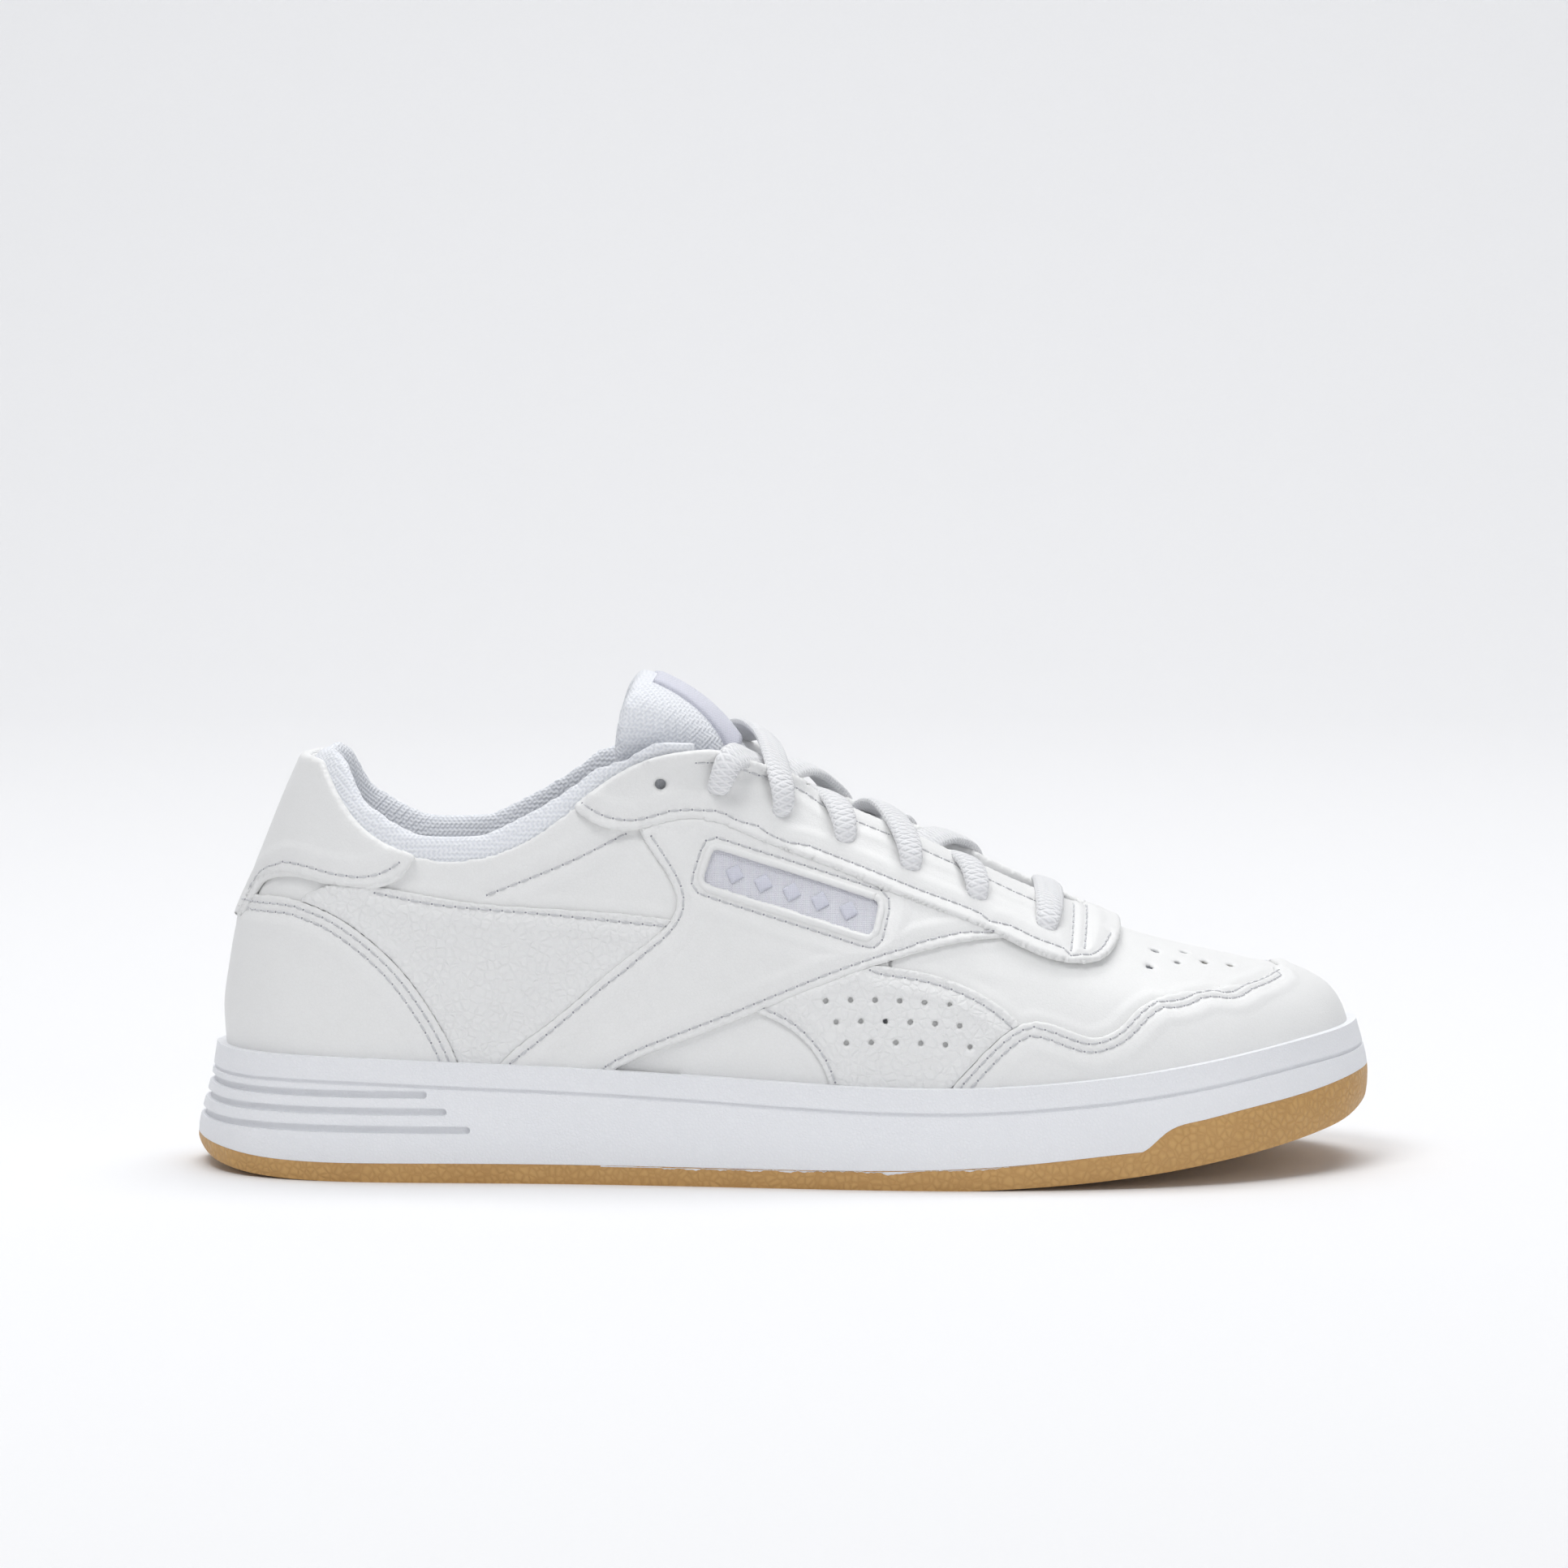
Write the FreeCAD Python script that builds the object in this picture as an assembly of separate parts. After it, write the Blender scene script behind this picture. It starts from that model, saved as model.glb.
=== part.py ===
import FreeCAD, Part
import math
import os
from FreeCAD import Vector

# Low-cut leather court shoe for the right foot, in millimetres.
# Frame: origin on the ground under the middle of the shoe, +X to the toe, +Z up, outer side -Y.
# A station is the distance from the heel-most point of the sole; outlines are drawn as
# (station, height) for the base size below, and graded to the sizes named here.

# ---- overall sizes ----
SHOE_LENGTH = 300.0        # sole, heel to toe
SOLE_WIDTH = 110.5         # sole, across the ball
UPPER_WIDTH = 88.0         # foot space, across the ball
UPPER_HEIGHT = 104.5       # top edge of the heel tab above the ground
SOLE_STACK = 20.0          # underside of the insole board above the ground, at the heel

BASE_LENGTH = 300.0
BASE_SOLE_WIDTH = 110.5
BASE_UPPER_WIDTH = 88.0
BASE_UPPER_HEIGHT = 104.5
BASE_STACK = 20.0

# ---- material thicknesses and clearances ----
GLUE_GAP = 0.05            # between bonded layers
SEAM_GAP = 0.15            # between pieces cut edge to edge
LINING_T = 1.0             # textile lining
INTERLINING_T = 1.2        # stiffeners and reinforcement
LEATHER_T = 1.2            # vamp and quarters
OVERLAY_T = 1.2            # toe cap, saddle, side panels, heel overlay
EYESTAY_T = 2.0            # eyestay and heel tab, turned and doubled
LABEL_T = 0.6              # woven window label and tongue label
COLLAR_SKIN_T = 1.0        # textile round the collar padding
COLLAR_BULGE = 4.0         # how far the collar padding swells into the opening at the heel
COLLAR_BASE = 1.1          # inner face of the padding where it does not swell
TONGUE_DROP = 5.2          # tongue face below the lining, room for the lace
TONGUE_FABRIC_T = 0.6
TONGUE_FOAM_T = 5.4
TONGUE_LABEL_W = 25.0
BOARD_T = 1.5              # insole board
BOARD_CLEARANCE = 0.1
SOCK_FOAM_T = 3.5          # removable sockliner
SOCK_COVER_T = 1.0
SOCK_CLEARANCE = 0.7
BUMPER_T = 4.0             # gum rubber wrapped up round the toe
CUP_FLOOR_T = 3.0          # white cup under the foam wedge
POCKET_MARGIN = 1.5        # foam wedge pocket beyond the lining line
LIP_GROOVE_W = 1.0         # line under the rolled lip of the cup
LIP_GROOVE_D = 0.5
LIP_H = 6.2                # rolled lip height
RIB_GROOVE_W = 1.9         # three grooves round the heel of the cup
RIB_GROOVE_D = 1.2
RIB_GROOVES = ((22.0, 59.0), (17.8, 64.0), (13.4, 70.0))  # height, and station of the round end
TREAD_W = 2.2
TREAD_D = 1.6
TREAD_PITCH = 8.5
TREAD_ROWS = ((26, 6), (154, 10))  # first groove and number, under the heel and under the ball
TREAD_MARGIN = 7.0         # plain border round the grooves

# ---- lacing ----
LACE_R = 1.4
LACE_GAP = 0.25            # lace to the leather it runs over
LACE_BEND_R = 2.6          # tightest turn of the lace
EYELET_R = 2.0
AGLET_R = 1.75
AGLET_L = 22.0
THROAT_FRONT = 227.0       # station of the closed end of the throat

# ---- small round holes ----
VENT_R = 1.0
PERF_R = 0.8
PERF_START = (160.5, 46.5)  # first perforation of the front side panel, station and height
PERF_PITCH = (6.2, 5.2)    # along the shoe, and from row to row

# ---- station lines between pieces, base size ----
PAD_FRONT = 129.0          # collar padding ends here, the lining goes on to the throat
COLLAR_CENTRE = 45.0       # centre of the rounded heel seen from above


def L(s):
    return s * SHOE_LENGTH / BASE_LENGTH


def X(s):
    return L(s) - SHOE_LENGTH / 2


def H(z):
    if z <= BASE_STACK:
        return z * SOLE_STACK / BASE_STACK
    return SOLE_STACK + (z - BASE_STACK) * (UPPER_HEIGHT - SOLE_STACK) / (BASE_UPPER_HEIGHT - BASE_STACK)


def WU(y):
    return y * UPPER_WIDTH / BASE_UPPER_WIDTH


def WS(y):
    return y * SOLE_WIDTH / BASE_SOLE_WIDTH


def clamp(v, lo=0.0, hi=1.0):
    return max(lo, min(hi, v))


def smooth(points):
    """Monotone cubic through (x, value) points, straight beyond both ends."""
    xs = [p[0] for p in points]
    ys = [p[1] for p in points]
    n = len(xs)
    h = [xs[i + 1] - xs[i] for i in range(n - 1)]
    d = [(ys[i + 1] - ys[i]) / h[i] for i in range(n - 1)]
    m = [0.0] * n
    for i in range(1, n - 1):
        if d[i - 1] * d[i] > 0:
            w1 = 2 * h[i] + h[i - 1]
            w2 = h[i] + 2 * h[i - 1]
            m[i] = (w1 + w2) / (w1 / d[i - 1] + w2 / d[i])
    m[0] = d[0]
    m[-1] = d[-1]

    def value(x):
        if x <= xs[0]:
            return ys[0] + m[0] * (x - xs[0])
        if x >= xs[-1]:
            return ys[-1] + m[-1] * (x - xs[-1])
        i = 0
        while x > xs[i + 1]:
            i += 1
        t = (x - xs[i]) / h[i]
        a = ys[i] * (1 + 2 * t) * (1 - t) ** 2 + h[i] * m[i] * t * (1 - t) ** 2
        b = ys[i + 1] * t * t * (3 - 2 * t) + h[i] * m[i + 1] * t * t * (t - 1)
        return a + b
    return value


# ======================================================================
# The foot space: closed level curves, each grown outward by an offset
# ======================================================================
# centre line over the toe, instep and tongue, (station, height)
RIDGE = [(290.4, 24), (290.4, 30), (289.2, 36), (287, 40.3), (282.5, 43.5), (276, 46), (262, 49.3),
         (248, 52.5), (236, 56), (225, 60.5), (212, 67), (200, 74), (188, 81.5), (173, 90), (158, 98),
         (148, 104.5), (143, 112), (135, 120.8), (128, 126), (120, 130), (106, 134.5)]
RIDGE = [(L(s), H(z)) for s, z in RIDGE]
# back of the heel, (height, station)
BACK = [(18, 13.2), (30, 12.4), (40, 11.8), (51, 13.1), (62, 15.2), (72, 19.2), (84, 24), (95, 28.4),
        (104, 32.4), (116, 36.5), (135, 42)]
back_at = smooth([(H(z), L(s)) for z, s in BACK])
# half widths, (station, width)
WIDTH_OUTER = [(0, 25.4), (40, 27.4), (80, 29.4), (120, 33.8), (160, 40.2), (195, 44.4), (225, 45),
               (300, 44.5)]
WIDTH_INNER = [(0, 25.4), (40, 26.6), (80, 26.4), (120, 28.4), (160, 34.4), (200, 41.2), (225, 42.5),
               (300, 42.5)]
outer_at = smooth([(L(s), WU(w)) for s, w in WIDTH_OUTER])
inner_at = smooth([(L(s), WU(w)) for s, w in WIDTH_INNER])
centre_at = smooth([(L(0), 0), (L(120), 0), (L(200), WU(1.5)), (L(250), WU(3.5)), (L(300), WU(6))])

TOE_OUTER = L(214)         # the toe starts to round off here on the outer side
TOE_INNER = L(216)
HEEL_ROUND = L(38)         # length of the rounded heel
NOSE_ROUND = L(30)         # length of the rounded front of the ankle
ridge_cache = {}


def ridge_at(o):
    """Station of the ridge for a height, and height for a station, grown by o."""
    if o not in ridge_cache:
        pts = []
        n = len(RIDGE)
        for i in range(n):
            a = RIDGE[max(0, i - 1)]
            b = RIDGE[min(n - 1, i + 1)]
            tx = b[0] - a[0]
            tz = b[1] - a[1]
            length = math.hypot(tx, tz)
            pts.append((RIDGE[i][0] + o * tz / length, RIDGE[i][1] - o * tx / length))
        front = smooth(sorted((z, s) for s, z in pts))
        top = smooth(sorted(pts[1:]))
        ridge_cache[o] = (front, top)
    return ridge_cache[o]


def half_width(s, z, o, side):
    """Distance from the centre line to the wall at station s and height z."""
    front, top = ridge_at(o)
    xf = front(z)
    xb = back_at(z) - o
    width = (outer_at if side < 0 else inner_at)(s) + o
    tip = RIDGE[0][0] + o + 0.01
    start = TOE_OUTER if side < 0 else TOE_INNER
    toe = 1.0
    if s > start:
        toe = max(0.0, 1 - ((s - start) / (tip - start)) ** 2.0) ** (1 / 2.1)
    heel = 1.0
    length = HEEL_ROUND + o
    if s - xb < length:
        heel = max(0.0, 1 - (1 - clamp((s - xb) / length)) ** 2.5) ** 0.5
    low = L(112)
    height = top(s) if s > low else top(low) + (low - s) * 2.2
    t = clamp((z - SOLE_STACK) / (height - SOLE_STACK))
    k = clamp((s - L(200)) / L(60))
    arch = max(0.0, 1 - t ** (2.2 + 0.4 * k)) ** (1 / (1.65 + 0.5 * k))
    nose = max(0.0, 1 - (1 - clamp((xf - s) / NOSE_ROUND)) ** 2.2) ** 0.5
    m = clamp((z - H(95)) / (H(120) - H(95)))
    m = m * m * (3 - 2 * m)
    lean = 1 - 0.0016 * max(0.0, z - H(45)) * (1 - clamp((s - L(30)) / L(120)))
    return width * toe * heel * (arch * (1 - m) + nose * m) * lean


CONTOUR_STEPS = 20


def contour(z, o):
    xf = ridge_at(o)[0](z)
    xb = back_at(z) - o
    n = CONTOUR_STEPS
    pts = []
    for i in range(2 * n):
        side = -1 if i <= n else 1
        k = i if i <= n else 2 * n - i
        s = xb + (xf - xb) * (1 - math.cos(math.pi * k / n)) / 2
        w = 0.0 if k in (0, n) else half_width(s, z, o, side)
        pts.append(Vector(s - SHOE_LENGTH / 2, centre_at(s) + side * w, z))
    return pts


def closed_curve(pts):
    m = len(pts)
    curve = Part.BSplineCurve()
    curve.interpolate(Points=pts, PeriodicFlag=True, Parameters=[i / m for i in range(m + 1)])
    return curve


def closed_wire(pts):
    return Part.Wire([closed_curve(pts).toShape()])


LEVELS = [4, 12, 20, 25, 30, 35, 39, 42, 44.5, 47, 50, 53.5, 58, 64, 71, 79, 88, 97, 106, 114, 121, 127, 132]
foot_cache = {}


def foot(o):
    """Solid foot space grown by o."""
    key = round(o, 3)
    if key not in foot_cache:
        foot_cache[key] = Part.makeLoft([closed_wire(contour(H(z), o)) for z in LEVELS], True, False)
    return foot_cache[key]


shell_cache = {}


def shell(inner, outer):
    key = (round(inner, 3), round(outer, 3))
    if key not in shell_cache:
        shell_cache[key] = foot(outer).cut(foot(inner))
    return shell_cache[key]


# offsets of the layers from the foot space
LINING = (0.0, LINING_T)
MID = (LINING_T + GLUE_GAP, LINING_T + GLUE_GAP + INTERLINING_T)
BASE = (MID[1] + GLUE_GAP, MID[1] + GLUE_GAP + LEATHER_T)
OVER = (BASE[1] + GLUE_GAP, BASE[1] + GLUE_GAP + OVERLAY_T)
THICK = (BASE[1] + GLUE_GAP, BASE[1] + GLUE_GAP + EYESTAY_T)
LABEL = (BASE[1] + GLUE_GAP, BASE[1] + GLUE_GAP + LABEL_T)


# ======================================================================
# Side outlines and plan outlines
# ======================================================================
WIDE = 200.0               # beyond the shoe on every side
BEHIND = 20.0              # tools start this far behind the heel


def edge_through(pts):
    if len(pts) == 2:
        return Part.LineSegment(pts[0], pts[1]).toShape()
    curve = Part.BSplineCurve()
    curve.interpolate(Points=pts)
    return curve.toShape()


def side_prism(runs, side=0, dx=0.0, dz=0.0):
    """Through-cut from a side outline: runs of (station, height), joined end to end by lines."""
    ends = {0: (-WIDE, WIDE), -1: (-WIDE, 0.0), 1: (0.0, WIDE)}[side]
    chains = [[Vector(X(s) + dx, ends[0], H(z) + dz) for s, z in run] for run in runs]
    edges = []
    for i, chain in enumerate(chains):
        if len(chain) > 1:
            edges.append(edge_through(chain))
        after = chains[(i + 1) % len(chains)][0]
        if chain[-1].distanceToPoint(after) > 1e-6:
            edges.append(Part.LineSegment(chain[-1], after).toShape())
    return Part.Face(Part.Wire(edges)).extrude(Vector(0, ends[1] - ends[0], 0))


def plan_prism(runs, z_low, z_high):
    """Vertical cut from a plan outline: runs of (station, y)."""
    chains = [[Vector(X(s), y, z_low) for s, y in run] for run in runs]
    edges = []
    for i, chain in enumerate(chains):
        if len(chain) > 1:
            edges.append(edge_through(chain))
        after = chains[(i + 1) % len(chains)][0]
        if chain[-1].distanceToPoint(after) > 1e-6:
            edges.append(Part.LineSegment(chain[-1], after).toShape())
    return Part.Face(Part.Wire(edges)).extrude(Vector(0, 0, z_high - z_low))


def above(line, gap=0.0):
    """Everything above a height line."""
    return side_prism([line, [(line[-1][0], 260)], [(line[0][0], 260)]], dz=gap)


def below(line, gap=0.0):
    return side_prism([line, [(line[-1][0], -60)], [(line[0][0], -60)]], dz=gap)


def between(low, low_gap, high, high_gap):
    return above(low, low_gap).common(below(high, high_gap))


# height lines along the sole
BOTTOM_HEEL = [(-3, 12), (-1, 7.6), (0.8, 5.6), (3.5, 3.6), (7.7, 2.2), (11.8, 1.4), (18, 0.7), (27, 0.2),
               (38, 0)]
BOTTOM_TOE = [(196, 0), (209, 0.6), (222, 1.5), (235.7, 2.8), (249.6, 4.5), (262.3, 6.5), (277.2, 9.2),
              (287.6, 11.6), (294.4, 13.8), (298.6, 16.4), (302, 20), (304, 24)]
# top of the flat gum slab, and of its step up into the toe bumper
SLAB = [(-4, 8.2), (2, 7.5), (7.7, 6.7), (12, 6.1), (18, 5.5), (26, 5.1), (50, 5), (120, 5), (175, 5.1),
        (198, 5.9), (222, 7.9), (236, 9.2), (250, 10.2), (262, 11.6), (277, 14), (288, 16.2), (304, 20.4)]
BUMPER = [(238, 9.0), (241.3, 10.3), (244, 12.6), (246.7, 14.6), (249.6, 15.8), (254, 16.6), (262, 18.1),
          (277, 20.6), (288, 22.6), (294.4, 23.9), (304, 24.8)]
# underside of the insole board, following the toe spring
BOARD = [(-6, 20), (40, 20), (90, 20), (130, 18.2), (175, 15.7), (205, 15), (225, 15.3), (245, 16.8),
         (262, 19.2), (277, 22), (290, 25), (304, 28.2)]
# top edge of the white cup
CUP_TOP = [(-6, 31), (8, 31), (33, 31), (66, 29.9), (95, 28.9), (142, 26.6), (169, 25.4), (194, 25.2),
           (219, 26.5), (240, 28.5), (271, 32.9), (285.5, 35), (294, 35.8), (306, 36.6)]

# edge of the ankle opening in the leather
COLLAR_EDGE = [(33, 104), (36.7, 96.6), (42.9, 88.7), (53.3, 82.7), (65.7, 80.7), (78.2, 82.8), (94.7, 92.2),
               (107.2, 101.3), (117.6, 106.2), (125.8, 107.9), (131, 108.3)]
ROLL_TOP = [(20, 107), (29, 107.2), (33, 107.4), (37.7, 104.8), (42.9, 97.3), (49.1, 91.7), (59.5, 87.5),
            (65.7, 86.9), (76.1, 88.6), (90.6, 96.3), (103, 104.4), (111.3, 108.4), (121.7, 111.3),
            (131, 112.5)]
BAND_BOTTOM = [(0, 77), (28, 77), (36, 72.5), (45, 63), (55, 57), (66, 55), (80, 57.5), (95, 65.5),
               (107, 73.5), (118, 79), (126, 81), (129.3, 81.5)]
THROAT_LINE = [(135.5, 107.6), (147.6, 102.6), (160, 97.6), (172, 92.5), (190, 84.6), (210, 75.8), (222, 71)]
UNDER_COLLAR = [[(-60, -40), (-60, 104.5)], [(31, 104.5)], COLLAR_EDGE, THROAT_LINE, [(222, 230), (400, 230)],
                [(400, -40)]]
UNDER_BAND = [[(-60, -40), (-60, 77)], BAND_BOTTOM, [(129.3, 230), (400, 230), (400, -40)]]

# outlines of the upper's pieces
EYESTAY_LOW = [(95.8, 96), (101, 91.3), (107.2, 88.9), (113.4, 89), (119.6, 90.6), (125.8, 91.6),
               (132.1, 90.9), (142.4, 86.9), (156.9, 81), (169.4, 76.1), (181.8, 71), (194.3, 66.2),
               (206.7, 61), (212.9, 58), (219.1, 55.9), (226.4, 55), (231.6, 56.3), (234.7, 59.5),
               (236.2, 63)]
EYESTAY_OUT = [EYESTAY_LOW, [(236.2, 230), (90, 230), (90, 100)]]
TOE_CAP_EDGE = [(186.5, 14), (189, 20), (192.2, 25.1), (195.3, 28.6), (201.5, 35), (206.7, 39.2),
                (211.9, 41.2), (217.1, 40.7), (223.3, 38.3), (228.5, 37.2), (233.7, 38.9), (238.8, 43.3),
                (244, 45.8), (252.3, 46.9), (264.8, 47.6), (275.1, 49.4), (281.3, 52.5)]
TOE_CAP_OUT = [TOE_CAP_EDGE, [(281.3, 80), (330, 80), (330, 5), (186.5, 5)]]
SADDLE_REAR = [(113, 97), (114, 88), (118.6, 80.9), (122.3, 74.8), (123.4, 69.7), (120.7, 64.5),
               (113.4, 58.3), (103, 49.9), (90.6, 39.4), (80.2, 31), (74, 22), (71, 10)]
SADDLE_FRONT = [(92, 10), (98, 21), (110.3, 30.3), (121.7, 35.2), (136.2, 41), (152.8, 48), (167.3, 53.6),
                (181.8, 58.1), (198.4, 61.1), (210.9, 61.2), (214, 61)]
SADDLE_OUT = [SADDLE_REAR, SADDLE_FRONT, [(214, 90), (113, 110)]]
FRONT_PANEL_OUT = [[(135, 46), (172.5, 62)],
                   [(172.5, 55.2), (188, 52.5), (200.5, 47.4), (209.8, 40), (214, 33)], [(214, 8), (163, 8)],
                   [(163, 20), (161.1, 26.9), (158, 33), (151.8, 39.2), (142.4, 43.6), (135, 46)]]
HEEL_OVERLAY_EDGE = [(-20, 68), (5, 68.3), (12.9, 69.2), (24.3, 69.9), (32.6, 67.9), (38.8, 65), (47.1, 58.9),
                     (54.3, 51.7), (61.6, 41.3), (67, 30.9), (69.5, 20), (70.5, 8)]
HEEL_OVERLAY_OUT = [HEEL_OVERLAY_EDGE, [(-20, 8)]]
REAR_PANEL_TOP = [(28, 70), (36, 74), (47.1, 74), (65.7, 70.8), (94.7, 68.5), (124, 65.8)]
REAR_PANEL_OUT = [REAR_PANEL_TOP, [(124, 8), (40, 8), (28, 60)]]
HEEL_TAB_LOW = [(-20, 62), (5, 62.4), (11.4, 64.3), (13.9, 69.6), (17, 74), (22.2, 76.4), (30.5, 76.1),
                (40.8, 74.4), (49.1, 75.6), (54.3, 78.7), (57.5, 83.5)]
HEEL_TAB_OUT = [HEEL_TAB_LOW, [(57.5, 140), (-20, 140)]]
WINDOW = [(132.1, 84.5), (174.6, 70.6), (172.5, 61.6), (129, 75.2)]
VAMP_SEAM = [[(176, 8), (175.5, 30), (176, 50), (178, 64), (183, 92)], [(183, 230), (400, 230), (400, 8)]]
COUNTER_EDGE = [(-20, 72), (20, 72), (34, 66), (50, 52), (66, 34), (74, 20), (76, 8)]
COUNTER_OUT = [COUNTER_EDGE, [(-20, 8)]]
PUFF_OUT = [[(262, 230), (255, 56), (250, 44), (246, 30), (244, 8)], [(400, 8), (400, 230)]]
REINFORCE_LOW = [(129.6, 95), (132, 86), (150, 78.5), (182, 66), (206, 56.5), (219, 51.5), (232, 50),
                 (240, 54), (241, 62)]
REINFORCE_OUT = [REINFORCE_LOW, [(241, 230), (129.6, 230)]]


# half width of the throat, (station, width)
THROAT = [(100, 19), (125, 19.8), (137, 20), (145, 19.9), (150, 18.8), (154, 17.3), (158, 16.6),
          (163, 16.3), (169.4, 16.4), (176, 16.4), (183.9, 16), (191, 15.2), (198.4, 13.6), (205, 12.3),
          (211, 11), (218, 9)]
throat_at = smooth([(L(s), WU(w)) for s, w in THROAT])


def throat_slot():
    """The opening over the tongue seen from above, with a round closed end."""
    outer = [(s, centre_at(L(s)) - WU(w)) for s, w in THROAT]
    inner = [(s, centre_at(L(s)) + WU(w)) for s, w in reversed(THROAT)]
    mid = centre_at(L(THROAT_FRONT))
    turn = THROAT_FRONT - 2.6
    nose = [outer[-1], (turn, mid - WU(5.2)), (THROAT_FRONT, mid), (turn, mid + WU(5.2)), inner[0]]
    return plan_prism([outer, nose, inner], H(48), H(240))


def surface_height(s, y, o):
    """Height of the grown surface over a plan point near the ridge."""
    side = -1 if y < centre_at(s) else 1
    need = abs(y - centre_at(s))
    lo = H(40)
    hi = ridge_at(o)[1](s)
    for _ in range(50):
        mid = (lo + hi) / 2
        if half_width(s, mid, o, side) > need:
            lo = mid
        else:
            hi = mid
    return lo


def wall_point(s, z, o, side):
    return Vector(s - SHOE_LENGTH / 2, centre_at(s) + side * half_width(s, z, o, side), z)


def wall_normal(s, z, o, side):
    d = 0.5
    a = wall_point(s + d, z, o, side) - wall_point(s - d, z, o, side)
    b = wall_point(s, z + d, o, side) - wall_point(s, z - d, o, side)
    n = a.cross(b)
    n.normalize()
    return n if n.y * side > 0 else n * -1


# eyelets, (station, height), from the top of the throat to its closed end
EYELETS = [(118.8, 99.7), (133.4, 98.6), (149.7, 92.8), (165.7, 86), (182.2, 78.8), (199, 71), (216.4, 63.4)]


def eyelet_axis(row, side):
    """Centre of an eyelet on the eyestay's outer face, and the outward normal there."""
    s, z = EYELETS[row]
    return wall_point(L(s), H(z), THICK[1], side), wall_normal(L(s), H(z), THICK[1], side)


def eyelet_drills():
    tools = []
    for row in range(len(EYELETS)):
        for side in (-1, 1):
            p, n = eyelet_axis(row, side)
            tools.append(Part.makeCylinder(EYELET_R, 15, p - n * 11, n))
    return Part.makeCompound(tools)


def clear_of(piece, neighbours):
    """Cut a piece back from outlines laid over it, with a seam gap in the direction (dx, dz)."""
    for runs, dx, dz in neighbours:
        piece = piece.cut(side_prism(runs))
        piece = piece.cut(side_prism(runs, 0, dx * SEAM_GAP, dz * SEAM_GAP))
    return piece


def biggest(shape):
    """The main solid of a cut, without chips left at corners."""
    return max(shape.Solids, key=lambda s: s.Volume)


nodes = {}


def add(name, shape):
    solids = sorted(shape.Solids, key=lambda s: -s.Volume)
    keep = [s for s in solids if s.Volume > 0.02 * solids[0].Volume]
    nodes[name] = keep[0] if len(keep) == 1 else Part.makeCompound(keep)


# ======================================================================
# Upper
# ======================================================================
slot = throat_slot()
drills = eyelet_drills()
rim = side_prism(UNDER_COLLAR)
under_band = side_prism(UNDER_BAND)
over_board = above(BOARD, GLUE_GAP)

overlay_space = shell(*OVER).common(over_board)
base_space = shell(*BASE).common(over_board).common(rim).cut(slot)
mid_space = shell(*MID).common(over_board).common(rim).common(under_band).cut(slot)
lining_space = shell(*LINING).common(over_board).common(rim).common(under_band).cut(slot)
thick_space = shell(*THICK).common(over_board).common(rim).cut(slot)

# vamp with its vent holes
vamp = base_space.common(side_prism(VAMP_SEAM)).cut(drills)
VENTS_OUTER = [(242.6, -20.8), (250, -14.5), (257, -9.9), (263.7, -7.4), (244.5, -10.8), (252, -5.5)]
vents = []
for s, y in VENTS_OUTER:
    for yy in (WU(y), 2 * centre_at(L(s)) - WU(y)):
        vents.append(Part.makeCylinder(VENT_R, 60, Vector(X(s), yy, H(40))))
add("vamp", vamp.cut(Part.makeCompound(vents)))

# quarters meet at the back seam
quarters = base_space.cut(side_prism(VAMP_SEAM, 0, -SEAM_GAP)).cut(drills)
half_gap = SEAM_GAP / 2
far_back = -WIDE - SHOE_LENGTH / 2
half_box = (2 * WIDE + SHOE_LENGTH, WIDE, 2 * WIDE)
outer_half = Part.makeBox(*half_box, Vector(far_back, -WIDE - half_gap, -WIDE / 2))
inner_half = Part.makeBox(*half_box, Vector(far_back, half_gap, -WIDE / 2))
add("quarter_lateral", quarters.common(outer_half))
add("quarter_medial", quarters.common(inner_half))

# lining and the hidden stiffeners
add("vamp_lining", lining_space.common(side_prism(VAMP_SEAM)).cut(drills))
add("quarter_lining", lining_space.cut(side_prism(VAMP_SEAM, 0, -SEAM_GAP)).cut(drills))
add("toe_puff", mid_space.common(side_prism(PUFF_OUT)))
add("heel_counter", mid_space.common(side_prism(COUNTER_OUT)))
add("eyestay_reinforcement", mid_space.common(side_prism(REINFORCE_OUT)).cut(drills))
mid_rest = clear_of(mid_space, [(PUFF_OUT, -1, 0), (COUNTER_OUT, 1, 1), (REINFORCE_OUT, 1, -1)])
add("interlining_lateral", biggest(mid_rest.common(outer_half)))
add("interlining_medial", biggest(mid_rest.common(inner_half)))

# thick pieces: eyestay round the throat, heel tab round the back
add("eyestay", thick_space.common(side_prism(EYESTAY_OUT)).cut(drills))
add("heel_tab", thick_space.common(side_prism(HEEL_TAB_OUT)))

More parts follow.
